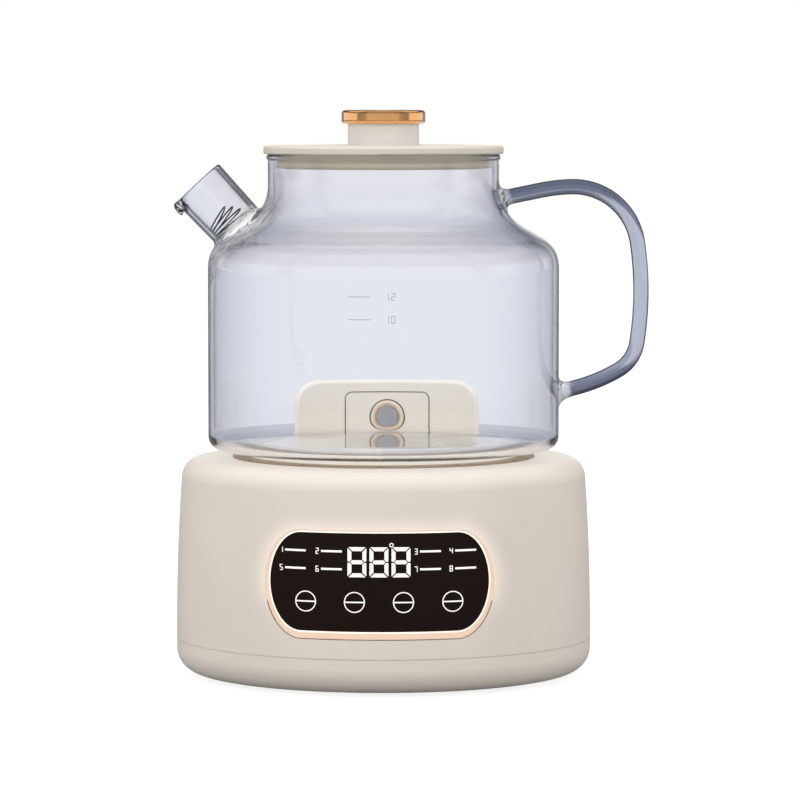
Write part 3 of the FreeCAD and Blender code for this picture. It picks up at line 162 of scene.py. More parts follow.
label_stroke = 0.36 * mm
label_gap = 1.0 * mm
numeral_share = 0.55
numeral_gap = 0.02 * mm

# Lines round the lit frame, whose outline is straight while the cosine of its angle is under flat_turn
flat_turn = 0.75
leak_w = 0.5 * mm
leak_gap = 0.1 * mm
# The dark line under the lit frame is painted shadow, laid on the lower half of its outline only
frame_shadow_w = 0.25 * mm
frame_shadow_ends = (math.radians(200), math.radians(340))
frame_steps = 239

# Seams of the sensor's panel, with painted shadow laid in them and round the probe's ring
sensor_lip = 1.2 * mm
sensor_corner_r = 3.0 * mm
seam_w = 0.45 * mm
seam_lift = 0.12 * mm
seam_t = 0.3 * mm
ring_seam_w = 0.55 * mm
ring_seam_sides = 72

# Spring behind the temperature probe
spring_wire_r = 0.2 * mm
spring_turns = 2.5
spring_steps = 36
spring_sides = 10

# Scale printed on the pot
scale_z = (163.5 * mm, 173.4 * mm)
scale_numbers = ("10", "12")
scale_x = -13.5 * mm
scale_l = 9.5 * mm
scale_stroke = 0.35 * mm
scale_number_x = 3.2 * mm
scale_number_h = 3.4 * mm
scale_number_pitch = 0.8


def side_r(z):
    """Radius of the base's side at a height."""
    return base_r - side_curve_r + math.sqrt(side_curve_r ** 2 - (z - belly_z) ** 2)


# Meshes


def add_object(name, data):
    """New object in the scene with this mesh, lamp or camera."""
    thing = bpy.data.objects.new(name, data)
    bpy.context.scene.collection.objects.link(thing)
    return thing


def all_round(count):
    """Angles of points that are spaced evenly round a circle."""
    return [2 * math.pi * i / count for i in range(count)]


def way(angle):
    """Flat direction at an angle."""
    return Vector((math.cos(angle), math.sin(angle)))


def wrapped(angle):
    """The same angle between minus and plus half a turn."""
    return (angle + math.pi) % (2 * math.pi) - math.pi


class Skin:
    """Vertices and faces of one mesh that is put together from several surfaces."""

    def __init__(self):
        self.points = []
        self.faces = []

    def add(self, point):
        self.points.append(Vector(point))
        return len(self.points) - 1

    def ring(self, points):
        return [self.add(p) for p in points]

    def strip(self, a, b):
        """Faces between two closed rings with as many points."""
        count = len(a)
        for i in range(count):
            j = (i + 1) % count
            self.faces.append((a[i], a[j], b[j], b[i]))

    def strips(self, rings):
        for a, b in zip(rings, rings[1:]):
            self.strip(a, b)

    def piece(self, name, body, material, smooth=True):
        mesh = bpy.data.meshes.new(name)
        mesh.from_pydata(self.points, [], self.faces)
        shape = bmesh.new()
        shape.from_mesh(mesh)
        if not smooth:
            bmesh.ops.triangulate(shape, faces=shape.faces, ngon_method="BEAUTY")
        bmesh.ops.recalc_face_normals(shape, faces=shape.faces)
        shape.to_mesh(mesh)
        shape.free()
        shade = mesh.shade_smooth if smooth else mesh.shade_flat
        shade()
        mesh.materials.append(material)
        thing = add_object(name, mesh)
        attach(thing, body)
        return thing


def arc_points(centre, radius, start, end):
    """Points of an arc in a plane, both ends included."""
    count = max(2, math.ceil(abs(end - start) / arc_step))
    turns = [start + (end - start) * i / count for i in range(count + 1)]
    return [centre + way(a) * radius for a in turns]


def rounded_outline(points, radii):
    """Outline through the points, each corner rounded by its radius."""
    points = [Vector(p) for p in points]
    outline = [points[0]]
    for before, corner, after, radius in zip(points, points[1:], points[2:], radii):
        a = (before - corner).normalized()
        b = (after - corner).normalized()
        half = a.angle(b) / 2
        centre = corner + (a + b).normalized() * (radius / math.sin(half))
        reach = radius / math.tan(half)
        start = corner + a * reach - centre
        end = corner + b * reach - centre
        first = math.atan2(start.y, start.x)
        turn = wrapped(math.atan2(end.y, end.x) - first)
        outline += arc_points(centre, radius, first, first + turn)
    return outline + [points[-1]]


def with_rows(outline, longest):
    """Outline with its long straight stretches divided."""
    rows = [outline[0]]
    for a, b in zip(outline, outline[1:]):
        count = max(1, math.ceil((b - a).length / longest))
        rows += [a.lerp(b, (i + 1) / count) for i in range(count)]
    return rows


# Glass pot


def pot_rows(offset, floor, corner_r, top):
    """Half outline of the pot, shrunk by an offset, from the middle of its floor to a top point."""
    r = pot_r - offset
    neck = neck_r - offset
    neck_z = neck_edge_z - offset / math.cos(shoulder_slope) + offset * math.tan(shoulder_slope)
    wall_z = neck_z - (r - neck) * math.tan(shoulder_slope)
    points = [(0, pot_z + floor), (r, pot_z + floor), (r, wall_z), (neck, neck_z), top]
    radii = [corner_r, pot_shoulder_r - offset, neck_fillet_r + offset]
    rows = with_rows(rounded_outline(points, radii), row_length)
    # A short last row keeps the bead's smooth shading close to it
    back = (rows[-2] - rows[-1]).normalized() * short_row
    return rows[:-1] + [rows[-1] + back, rows[-1]]


def bead_rows():
    """Rounded edge of the rim, from the outside over the top to the inside."""
    centre = Vector((neck_r + rim_bead_out - rim_bead_r, rim_z - rim_bead_r))
    start = -math.acos((neck_r - centre.x) / rim_bead_r)
    end = math.acos((neck_r - glass_wall - centre.x) / rim_bead_r)
    return arc_points(centre, rim_bead_r, start, end)


def radius_at(rows):
    """Radius of the pot's shoulder and side at a height."""
    upright = sorted((p.y, p.x) for p in rows if p.x > neck_r / 2)

    def radius(z):
        if z <= upright[0][0]:
            return upright[0][1]
        for (z0, r0), (z1, r1) in zip(upright, upright[1:]):
            if z <= z1:
                return r0 + (r1 - r0) * (z - z0) / max(z1 - z0, 1e-9)
        return upright[-1][1]
    return radius


def crossing(point_at, radius, outside, inside):
    """Where a line of points passes through the pot's skin."""
    for _ in range(search_steps):
        middle = (outside + inside) / 2
        p = point_at(middle)
        if math.hypot(p.x, p.y) < radius(p.z):
            inside = middle
        else:
            outside = middle
    return outside


def turned(flat, angle):
    """Place of an outline's point when it is turned about the axis."""
    return Vector((flat.x * math.cos(angle), flat.x * math.sin(angle), flat.y))


class TurnedSurface:
    """Surface of revolution with holes whose edges are rings of given points."""

    def __init__(self, rows, columns):
        self.rows = rows
        self.columns = columns
        self.along = [0.0]
        for a, b in zip(rows, rows[1:]):
            self.along.append(self.along[-1] + (b - a).length)

    def place(self, angle, along):
        for i in range(1, len(self.rows)):
            if along <= self.along[i] or i == len(self.rows) - 1:
                share = (along - self.along[i - 1]) / (self.along[i] - self.along[i - 1])
                return turned(self.rows[i - 1].lerp(self.rows[i], share), angle)

    def unrolled(self, point, first, last):
        """Angle and distance along the outline of a point on the rows from first to last."""
        best = None
        flat = Vector((math.hypot(point.x, point.y), point.z))
        for i in range(first, last):
            a, b = self.rows[i], self.rows[i + 1]
            share = max(0.0, min(1.0, (flat - a).dot(b - a) / (b - a).length_squared))
            gap = (a.lerp(b, share) - flat).length
            if best is None or gap < best[0]:
                best = (gap, self.along[i] + share * (b - a).length)
        return math.atan2(point.y, point.x), best[1]

    def build(self, skin, holes):
        """Adds the surface. Each hole is a ring of points with the first and last row it can lie on."""
        step = 2 * math.pi / self.columns
        cuts = []
        for ring, first, last in holes:
            flat = [self.unrolled(p, first, last) for p in ring]
            middle = math.atan2(sum(p.y for p in ring), sum(p.x for p in ring))
            flat = [(wrapped(a - middle) + middle, t) for a, t in flat]
            reach = patch_margin * patch_cell
            mean_r = sum(math.hypot(p.x, p.y) for p in ring) / len(ring)
            low_column = math.floor((min(a for a, t in flat) - reach / mean_r) / step)
            high_column = math.ceil((max(a for a, t in flat) + reach / mean_r) / step)
            low_t = min(t for a, t in flat) - reach
            high_t = max(t for a, t in flat) + reach
            low_row = max(i for i, t in enumerate(self.along) if t <= low_t)
            high_row = min(i for i, t in enumerate(self.along) if t >= high_t)
            cuts.append((low_column, high_column, low_row, high_row, flat, mean_r))

        def covered(column, row, border):
            """Whether a cell lies in a hole's patch, or with a border of 1, a grid point inside its edge."""
            for low_column, high_column, low_row, high_row, *_ in cuts:
                shift = (column - low_column) % self.columns
                if border <= shift < high_column - low_column and low_row + border <= row < high_row:
                    return True
            return False

        ids = {}
        for row, flat in enumerate(self.rows):
            if flat.x < axis_r:
                ids[row] = skin.add((0, 0, flat.y))
                continue
            for column in range(self.columns):
                if not covered(column, row, 1):
                    ids[row, column] = skin.add(turned(flat, column * step))
        for row in range(len(self.rows) - 1):
            for column in range(self.columns):
                after = (column + 1) % self.columns
                if row in ids:
                    skin.faces.append((ids[row], ids[row + 1, column], ids[row + 1, after]))
                elif row + 1 in ids:
                    skin.faces.append((ids[row, column], ids[row, after], ids[row + 1]))
                elif not covered(column, row, 0):
                    skin.faces.append((ids[row, column], ids[row, after],
                                       ids[row + 1, after], ids[row + 1, column]))
        return [self.patch(skin, ids, step, *cut) for cut in cuts]

    def patch(self, skin, ids, step, low_column, high_column, low_row, high_row, loop, mean_r):
        """Fills the space between a border of grid points and a hole's ring."""
        flat = []
        known = []
        border = [(c, low_row) for c in range(low_column, high_column)]
        border += [(high_column, r) for r in range(low_row, high_row)]
        border += [(c, high_row) for c in range(high_column, low_column, -1)]
        border += [(low_column, r) for r in range(high_row, low_row, -1)]
        for column, row in border:
            flat.append(Vector((column * step * mean_r, self.along[row])))
            known.append(ids[row, column % self.columns])
        ring_ids = []
        for angle, along in loop:
            flat.append(Vector((angle * mean_r, along)))
            ring_ids.append(skin.add(self.place(angle, along)))
        known += ring_ids
        outline = flat[len(border):]
        x0, x1 = low_column * step * mean_r, high_column * step * mean_r
        y0, y1 = self.along[low_row], self.along[high_row]
        nx, ny = round((x1 - x0) / patch_cell), round((y1 - y0) / patch_cell)
        for i in range(1, nx):
            for j in range(1, ny):
                p = Vector((x0 + (x1 - x0) * i / nx, y0 + (y1 - y0) * j / ny))
                near = min((p - q).length_squared for q in outline)
                if near > (patch_clear * patch_cell) ** 2 and not within(p, outline):
                    flat.append(p)
                    known.append(skin.add(self.place(p.x / mean_r, p.y)))
        count = len(border)
        edges = [(i, (i + 1) % count) for i in range(count)]
        size = len(loop)
        edges += [(count + i, count + (i + 1) % size) for i in range(size)]
        found, _, faces, origin, _, _ = geometry.delaunay_2d_cdt(flat, edges, [], 0, 1e-9)
        for face in faces:
            middle = sum((found[i] for i in face), Vector((0, 0))) / len(face)
            if not within(middle, outline):
                skin.faces.append(tuple(known[origin[i][0]] for i in face))
        return ring_ids


def within(point, outline):
    """Whether a flat point lies inside a closed outline."""
    inside = False
    for a, b in zip(outline, outline[1:] + outline[:1]):
        if (a.y > point.y) != (b.y > point.y):
            if point.x < (b.x - a.x) * (point.y - a.y) / (b.y - a.y) + a.x:
                inside = not inside
    return inside


def fillet_rings(skin, ring_ids, corners, ends):
    """Rings of a fillet that swings from a ring on the wall to the tube's first ring."""
    rings = [ring_ids]
    for k in range(1, fillet_rows + 1):
        t = k / fillet_rows
        points = []
        for i, corner, end in zip(ring_ids, corners, ends):
            start = skin.points[i]
            points.append(start * (1 - t) ** 2 + corner * (2 * t * (1 - t)) + end * t ** 2)
        rings.append(skin.ring(points))
    return rings


spout_origin = Vector((-(neck_r + spout_out), 0, neck_edge_z - spout_out * math.tan(shoulder_slope)))
spout_way = Vector((-math.cos(spout_angle), 0, math.sin(spout_angle)))
spout_down = Vector((-math.sin(spout_angle), 0, -math.cos(spout_angle)))
sideways = Vector((0, 1, 0))


def spout_point(along, angle, grow):
    """Point of the spout's skin, by the angle from its underside and the growth of its radius."""
    share = (along + spout_root_l) / (spout_mouth_l + spout_root_l)
    r = spout_root_r + (spout_mouth_r - spout_root_r) * share + grow
    return (spout_origin + spout_way * along
            + spout_down * (math.cos(angle) * r) + sideways * (math.sin(angle) * r))


spout_angles = all_round(spout_sides)


def spout_root(grow, fillet, radius):
    """Ring on the pot's skin, sharp corners, and the tube's first places along its axis."""
    ring = []
    corners = []
    starts = []
    for a in spout_angles:
        wide, near = [crossing(lambda s: spout_point(s, a, g), radius, spout_search, -spout_search)
                      for g in (grow + fillet, grow)]
        ring.append(spout_point(wide, a, grow + fillet))
        corners.append(spout_point(near, a, grow))
        starts.append(near + fillet)
    return ring, corners, starts


def tube_rings(skin, starts, grow, end):
    """Rings of the spout past the one at its root, up to where its mouth's edge begins."""
    rings = []
    count = round((end - min(starts)) / spout_row)
    for k in range(1, count + 1):
        t = k / count
        places = [s + (end - s) * t for s in starts]
        rings.append(skin.ring([spout_point(s, a, grow) for a, s in zip(spout_angles, places)]))
    return rings


def mouth_profiles():
    """Places along and outside the wall of the mouth's edge: half round, and rolled over as a beak."""
    half = spout_wall / 2
    beak = [Vector(p) * mm for p in beak_profile]
    lead = len(beak) // 2
    plain = [Vector((beak[0].x * (1 - k / lead) - half * k / lead, 0)) for k in range(lead)]
    count = len(beak) - 1 - lead
    for k in range(count + 1):
        a = math.pi * k / count
        plain.append(Vector((half * (math.sin(a) - 1), half * (math.cos(a) - 1))))
    return plain, beak


def mouth_rings(skin):
    """Rings of the mouth's edge, which rolls outwards and down into a beak on the spout's underside."""
    rings = []
    for flat, rolled in zip(*mouth_profiles()):
        points = []
        for a in spout_angles:
            share = max(0.0, 1 - abs(wrapped(a)) / beak_angle)
            share = share * share * (3 - 2 * share)
            at = flat.lerp(rolled, share)
            points.append(spout_point(spout_mouth_l + at.x, a, at.y))
        rings.append(skin.ring(points))
    return rings


@functools.cache
def handle_line():
    """Places and headings along the handle's centre line."""
    at = Vector((neck_r - glass_wall / 2, handle_top_z))
    heading = handle_heading
    line = []

    def run(start, direction, length):
        count = math.ceil(length / handle_step)
        line.extend((start + direction * length * i / count, heading) for i in range(count))
        return start + direction * length

    at = run(at, way(heading), handle_first_run)
    for r_mm, degrees in handle_bends:
        r = r_mm * mm
        turn = math.radians(degrees)
        centre = at + way(heading - math.pi / 2) * r
        count = max(math.ceil(turn * r / handle_step), math.ceil(turn / arc_step))
        for i in range(count):
            a = heading - turn * i / count
            line.append((centre - way(a - math.pi / 2) * r, a))
        heading -= turn
        at = centre - way(heading - math.pi / 2) * r
    last = way(heading)
    at = run(at, last, (pot_r - glass_wall / 2 - at.x) / last.x)
    line.append((at, heading))
    return line


def rod_ring(place, heading, radius):
    """Ring of points across the handle's centre line."""
    centre = Vector((place.x, 0, place.y))
    up = Vector((-math.sin(heading), 0, math.cos(heading)))
    return [centre + up * (math.cos(a) * radius) + sideways * (math.sin(a) * radius)
            for a in all_round(rod_sides)]


def handle_weld(place, heading, away, radius):
    """Wide ring on the pot's skin and the rod's own ring on it. Away is 1 at the rod's start."""
    direction = Vector((math.cos(heading), 0, math.sin(heading))) * away
    rings = []
    for r in (weld_r, rod_r):
        ring = []
        for p in rod_ring(place, heading, r):
            s = crossing(lambda s: p + direction * s, radius, *rod_search)
            ring.append(p + direction * s)
        rings.append(ring)
    return rings


def make_glass(material):
    """The pot's wall, its spout and its handle as one closed skin of glass."""
    skin = Skin()
    bead = bead_rows()
    outer = pot_rows(0, 0, pot_corner_r, bead[0])
    inner = pot_rows(glass_wall, pot_floor_t, pot_inner_corner_r, bead[-1])[::-1]
    rows = outer + bead[1:] + inner[1:]
    side = next(i for i, p in enumerate(rows) if p.y > pot_z + pot_corner_r / 2 and p.x > neck_r)
    outside = (side, len(outer) - 1)
    inside = (len(outer) + len(bead) - 1, len(rows) - 2)
    outer_radius = radius_at(outer)
    walls = ((0, spout_fillet, outer_radius), (-spout_wall, spout_inner_fillet, radius_at(inner)))
    roots = [spout_root(*wall) for wall in walls]
    line = handle_line()
    (top_hole, top_corners), (low_hole, low_corners) = [
        handle_weld(*line[end], away, outer_radius) for end, away in ((0, 1), (-1, -1))]
    holes = [(roots[0][0], *outside), (roots[1][0], *inside), (top_hole, *outside), (low_hole, *outside)]
    *root_ids, top_ids, low_ids = TurnedSurface(rows, glass_columns).build(skin, holes)
    ends = (spout_mouth_l + beak_profile[0][0] * mm, spout_mouth_l - spout_wall / 2)
    tubes = []
    for ids, (_, corners, starts), (grow, *_), end in zip(root_ids, roots, walls, ends):
        first_ring = [spout_point(s, a, grow) for a, s in zip(spout_angles, starts)]
        tubes.append(fillet_rings(skin, ids, corners, first_ring) + tube_rings(skin, starts, grow, end))
    mouth = [tubes[0][-1], *mouth_rings(skin)[1:-1], tubes[1][-1]]
    weld_reach = weld_l + glass_wall / 2
    first = min(i for i, (p, _) in enumerate(line) if (p - line[0][0]).length > weld_reach)
    last = max(i for i, (p, _) in enumerate(line) if (p - line[-1][0]).length > weld_reach)
    top = fillet_rings(skin, top_ids, top_corners, rod_ring(*line[first], rod_r))
    low = fillet_rings(skin, low_ids, low_corners, rod_ring(*line[last], rod_r))
    rod = [top[-1], *[skin.ring(rod_ring(*at, rod_r)) for at in line[first + 1:last]], low[-1]]
    for rings in (*tubes, mouth, top, low, rod):
        skin.strips(rings)
    ripple(skin)
    pot = skin.piece("glass_pot", "pot", material)
    shares = [glass_shares(p, outer_radius) for p in skin.points]
    # Painted slate shade on the rod's outer side, given to the mesh as its slate share
    rod_shade_at = [0.0] * len(skin.points)
    for ring, (_, heading) in zip(rod, line[first:]):
        for index, angle in zip(ring, all_round(rod_sides)):
            rod_shade_at[index] = rod_painted_shade(angle, heading)
    for name, values in zip(("rod", "tube", "weld", "plain", "slate"), [*zip(*shares), rod_shade_at]):
        pot.data.attributes.new(name, "FLOAT", "POINT").data.foreach_set("value", values)
    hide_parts("glass_body", "glass_spout", "glass_handle")


# Crinkled, plain and tinted parts of the glass

rod_fade = 4 * mm
rim_zone = 2.5 * mm
# Where the painted slate shade on the rod's outer side starts, how softly it comes in, and how much less of
# it there is where the rod is upright
rod_shade_start = -0.32
rod_shade_fade = 0.12
rod_shade_turn = 1.3
# Where the spout's weld begins to fade away from its axis, up it and down it, and over what length
weld_across = (spout_root_r + 2 * mm, 14 * mm)
weld_up = (0.5 * mm, 4 * mm)
weld_down = (17 * mm, 6 * mm)
weld_spread = 0.75
weld_half_r = 4.75 * mm
# Waves along the spout: how they lean, and the scale and height of the noise that bends and roughens them
ripple_reach = 3.5 * mm
ripple_depth = 0.16 * mm
ripple_length = 2.9 * mm
ripple_lean = 0.35
ripple_bends = ((160, 2.2), (420, 0.8))
ripple_bend = 2.5
ripple_grain = (600, 1.2)


def spout_place(p):
    """Distance along the spout's axis from the shoulder's line, and distance from the axis."""
    away = p - spout_origin
    along = away.dot(spout_way)
    return along, (away - spout_way * along).length


def ramp_down(value, start, length):
    """1 up to a start and 0 from a length past it."""
    return min(1.0, max(0.0, 1 - (value - start) / length))


def weld_share(p):
    """How much a point lies in the crinkled glass where spout and handle were welded on."""
    along, across = spout_place(Vector((p.x, p.y * weld_spread, p.z)))
    share = ramp_down(across, *weld_across)
    share *= ramp_down(along, *weld_up) * ramp_down(-along, *weld_down)
    if p.x > 0:
        share = 0
        for place, _ in (handle_line()[0], handle_line()[-1]):
            away = (p - Vector((place.x, 0, place.y))).length
            share = max(share, ramp_down(away, weld_half_r, weld_half_r))
    return share


def glass_shares(p, radius):
    """How much a point is of the handle's rod, the spout's tube, a weld, and the plain rim and floor."""
    outside = min(1.0, max(0.0, (math.hypot(p.x, p.y) - radius(p.z)) / rod_fade))
    plain = ramp_down(rim_z - p.z, rim_zone, rim_zone)
    if math.hypot(p.x, p.y) < pot_r - glass_wall / 2:
        plain = max(plain, ramp_down(p.z - pot_z, pot_floor_t + pot_inner_corner_r, rim_zone))
    return (outside if p.x > 0 else 0.0), (outside if p.x < 0 else 0.0), weld_share(p), plain


def rod_painted_shade(angle, heading):
    """How much painted slate shade a point of the rod gets: its outer side, where the rod runs level."""
    upright = 1 - abs(math.cos(heading))
    return 1 - ramp_down(math.cos(angle) - rod_shade_turn * upright, rod_shade_start, rod_shade_fade)


def ripple(skin):
    """Drawn waves that the glass keeps round the spout's root."""
    for p in skin.points:
        share = weld_share(p) if p.x < 0 else 0
        if share > 0:
            along, across = spout_place(p)
            share *= ramp_down(across, spout_root_r + ripple_reach, ripple_reach)
            bend = sum(noise.noise(p * scale) * height for scale, height in ripple_bends) * ripple_bend
            wave = math.sin(2 * math.pi * (along - ripple_lean * across) / ripple_length + bend)
            grain_scale, grain_height = ripple_grain
            p += spout_way * (ripple_depth * share * (wave + grain_height * noise.noise(p * grain_scale)))


def make_probe_spring(material):
    """The probe's spring as a coil of wire, at the length it has while the probe is not pressed back."""
    low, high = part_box("probe_spring")
    middle = (low + high) / 2
    radius = (high.x - low.x) / 2 - spring_wire_r
    run = high.y - low.y - 2 * spring_wire_r
    count = round(spring_turns * spring_steps)
    skin = Skin()
    rings = []
    for i in range(count + 1):
        a = 2 * math.pi * i / spring_steps
        out = Vector((math.cos(a), 0, math.sin(a)))
        centre = Vector((middle.x, low.y + spring_wire_r + run * i / count, middle.z)) + out * radius
        across = [out * math.cos(b) + sideways * math.sin(b) for b in all_round(spring_sides)]
        rings.append(skin.ring([centre + edge * spring_wire_r for edge in across]))
    skin.strips(rings)
    skin.faces += [tuple(rings[0]), tuple(rings[-1])]
    spring = skin.piece("spring_coil", "base", material)
    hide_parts("probe_spring")
    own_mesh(spring)


# Node trees

white = (1, 1, 1, 1)
slate = (0.78, 0.88, 1.0)
# Places of the colours among the inputs and outputs of a mix node
mix_a, mix_b, mix_result = 6, 7, 2


def linear(r, g, b):
    """Colour of 0 to 255 a channel as the shader's own."""
    def one(c):
        c /= 255
        return c / 12.92 if c <= 0.04045 else ((c + 0.055) / 1.055) ** 2.4
    return (one(r), one(g), one(b), 1)


class Tree:
    """Node tree of a material or the world, with the kinds of node that this scene needs."""

    def __init__(self, owner, output=None):
        owner.use_nodes = True
        self.tree = owner.node_tree
        if output:
            self.tree.nodes.clear()
            self.out = self.node(output)

    def node(self, kind, **settings):
        made = self.tree.nodes.new(kind)
        for key, value in settings.items():
            setattr(made, key, value)
        return made

    def feed(self, socket, value):
        """Links an input to another node's output, or gives it a value."""
        if isinstance(value, bpy.types.NodeSocket):
            self.tree.links.new(value, socket)
        else:
            socket.default_value = value

    def fed(self, kind, values, output=0, **settings):
        """Output of a new node whose inputs, by name or number, take the values."""
        made = self.node(kind, **settings)
        for key, value in values.items():
            self.feed(made.inputs[key], value)
        return made.outputs[output]

    def math(self, operation, *values, clamp=False):
        return self.fed("ShaderNodeMath", dict(enumerate(values)), operation=operation, use_clamp=clamp)

    def times(self, a, b):
        return self.math("MULTIPLY", a, b)

    def minus(self, a, b):
        return self.math("SUBTRACT", a, b)

    def length(self, x, z):
        """Length of a flat vector."""
        return self.math("SQRT", self.math("ADD", self.math("POWER", x, 2.0), self.math("POWER", z, 2.0)))

    def parts(self, vector):
        """X, Y and Z of a vector."""
        split = self.node("ShaderNodeSeparateXYZ")
        self.feed(split.inputs[0], vector)
        return split.outputs

    def product(self, *colours):
        """Colours times each other."""
        result, *others = [c[:3] if isinstance(c, tuple) else c for c in colours]
        for other in others:
            result = self.fed("ShaderNodeVectorMath", {0: result, 1: other}, operation="MULTIPLY")
        return result

    def ramp(self, value, stops):
        """Grey levels by a value from 0 to 1, each a place and a level, the darker ones in slate."""
        made = self.node("ShaderNodeValToRGB")
        elements = made.color_ramp.elements
        made.color_ramp.interpolation = "EASE"
        while len(elements) < len(stops):
            elements.new(0.5)
        for element, (place, level) in zip(elements, stops):
            element.position = place
            element.color = [level * (c + (1 - c) * level) for c in slate] + [1]
        self.feed(made.inputs[0], value)
        return made.outputs[0]

    def emission(self, colour):
        return self.fed("ShaderNodeEmission", {"Color": colour})

    def background(self, colour, strength=1.0):
        return self.fed("ShaderNodeBackground", {"Color": colour, "Strength": strength})

    def by_ray(self, surface, *shaders):
        """A surface that is another for each kind of ray, of which the last named wins."""
        path = self.node("ShaderNodeLightPath")
        for ray, shader in shaders:
            surface = self.fed("ShaderNodeMixShader", {0: path.outputs[ray], 1: surface, 2: shader})
        return surface


class Finish(Tree):
    """A node material in the making."""

    def __init__(self, name, colour, roughness, metallic=0.0):
        self.material = bpy.data.materials.new(name)
        super().__init__(self.material)
        self.shader = self.tree.nodes["Principled BSDF"]
        self.out = self.tree.nodes["Material Output"]
        self.colour = colour
        self.set(Base_Color=colour, Roughness=roughness, Metallic=metallic)
        self.place = self.node("ShaderNodeTexCoord").outputs["Object"]

    def set(self, **values):
        """Gives inputs of the shader, named with _ for a space, their values or links."""
        for key, value in values.items():
            self.feed(self.shader.inputs[key.replace("_", " ")], value)
        return self

    def noise(self, scale, detail=3.0, stretch=(1, 1, 1)):
        at = self.fed("ShaderNodeMapping", {"Vector": self.place, "Scale": stretch})
        return self.fed("ShaderNodeTexNoise", {"Vector": at, "Scale": scale, "Detail": detail})

    def spread(self, value, low, high):
        """A value of 0 to 1 laid out from a low to a high one."""
        return self.fed("ShaderNodeMapRange", {"Value": value, "To Min": low, "To Max": high})

    def ease(self, value, low, high):
        """0 up to a low value and 1 from a high one, smooth between them."""
        limits = {"Value": value, "From Min": low, "From Max": high}
        return self.fed("ShaderNodeMapRange", limits, interpolation_type="SMOOTHSTEP")

    def mix(self, share, a, b):
        """Colour between two, nearer to the second as the share grows."""
        return self.fed("ShaderNodeMix", {0: share, mix_a: a, mix_b: b}, mix_result, data_type="RGBA")

    def shades(self, other, scale):
        """Soft patches of a second shade."""
        share = self.spread(self.noise(scale), *shade_spread)
        return self.set(Base_Color=self.mix(share, self.colour, other))

    def gloss(self, low, high, scale):
        return self.set(Roughness=self.spread(self.noise(scale), low, high))

    def bump(self, height, depth):
        bent = {"Strength": 1.0, "Distance": depth, "Height": height}
        return self.set(Normal=self.fed("ShaderNodeBump", bent))

    def share(self, name):
        """A share that the mesh gives for each of its points."""
        return self.node("ShaderNodeAttribute", attribute_name=name).outputs["Fac"]

    def along(self, direction, scale):
        """Distance of a point along a direction, times a scale."""
        values = {0: self.place, 1: tuple(direction * scale)}
        return self.fed("ShaderNodeVectorMath", values, "Value", operation="DOT_PRODUCT")

    def let_through(self):
        """Lets light from lamps and from all round pass straight through to what is behind."""
        clear = self.fed("ShaderNodeBsdfTransparent", {"Color": white})
        rays = [(ray, clear) for ray in ("Is Diffuse Ray", "Is Shadow Ray")]
        self.feed(self.out.inputs["Surface"], self.by_ray(self.shader.outputs[0], *rays))


# Materials

shade_spread = (-0.2, 1.2)
mottle_scale = 40
gloss_scale = 260
gloss_change = (-0.05, 0.07)
metal_shade_scale = 60
metal_gloss_scale = 500
metal_gloss_change = (0.8, 1.3)
glow_roughness = 0.4
glow_scale = 70


def moulded(name, colour, other, roughness, grain=900, depth=0.004 * mm):
    """Moulded plastic: a faint mottle, uneven gloss and a fine grain."""
    made = Finish(name, linear(*colour), roughness)
    made.shades(linear(*other), mottle_scale)
    made.gloss(*[roughness + change for change in gloss_change], gloss_scale)
    return made.bump(made.noise(grain, 2), depth)


def metal(name, colour, other, roughness, scratch, depth=0.002 * mm):
    """Metal with fine scratches."""
    made = Finish(name, linear(*colour), roughness, 1.0)
    made.shades(linear(*other), metal_shade_scale)
    made.gloss(*[roughness * change for change in metal_gloss_change], metal_gloss_scale)
    return made.bump(made.noise(scratch, 2), depth)


def glowing(name, colour, other, strength):
    """Plastic that gives off a light of its own, in soft patches."""
    made = Finish(name, linear(*colour), glow_roughness)
    mixed = made.mix(made.spread(made.noise(glow_scale), 0, 1), made.colour, linear(*other))
    return made.set(Base_Color=mixed, Emission_Color=mixed, Emission_Strength=strength)


streak_scale = 460
streak_down_scale = 60
streak_side_scale = 80
streak_lean = 0.2
glass_ior = 1.47
glass_absorption = {"Color": linear(196, 203, 216), "Density": 14.0}
# Painted shade that makes the glass bluer and darker towards its sides, as it is seen more edge on
glass_side_shade = (0.0, 0.05, 0.18, 1)
glass_edge_shade = linear(44, 46, 55)
glass_streak_shade = linear(44, 44, 50)
rod_pale = linear(202, 207, 217)
# Painted slate shade for the rod's outer side
rod_shade_tint = linear(122, 126, 146)
# The dark edge, painted shade where the glass is seen edge on: where it starts, how much sooner on the tube
# and the rod, and how strong it is
edge_facing = 0.76
edge_width = 0.12
edge_sooner_tube = 0.26
edge_sooner_rod = 0.40
edge_most = 0.96
edge_less_weld = 0.85
side_most = 0.34
# Dark lines of the welds, which are painted shade, and their milky patches
line_limits = (0.015, 0.05)
line_most = 0.9
milk_limits = (0.3, 0.6)
milk_most = 0.7
weld_height = 5.0
wave_scale = 26
wave_stretch = (1, 1, 0.5)
wave_depth = 0.10 * mm


def weld_streaks(made):
    """Crinkles of the welded glass, which run round the spout and out over the shoulder."""
    place = {"X": made.along(spout_way + spout_down * streak_lean, streak_scale),
             "Y": made.along(spout_down, streak_down_scale),
             "Z": made.along(sideways, streak_side_scale)}
    at = made.fed("ShaderNodeCombineXYZ", place)
    return made.fed("ShaderNodeTexNoise", {"Vector": at, "Scale": 1.0, "Detail": 2.0, "Distortion": 0.9})


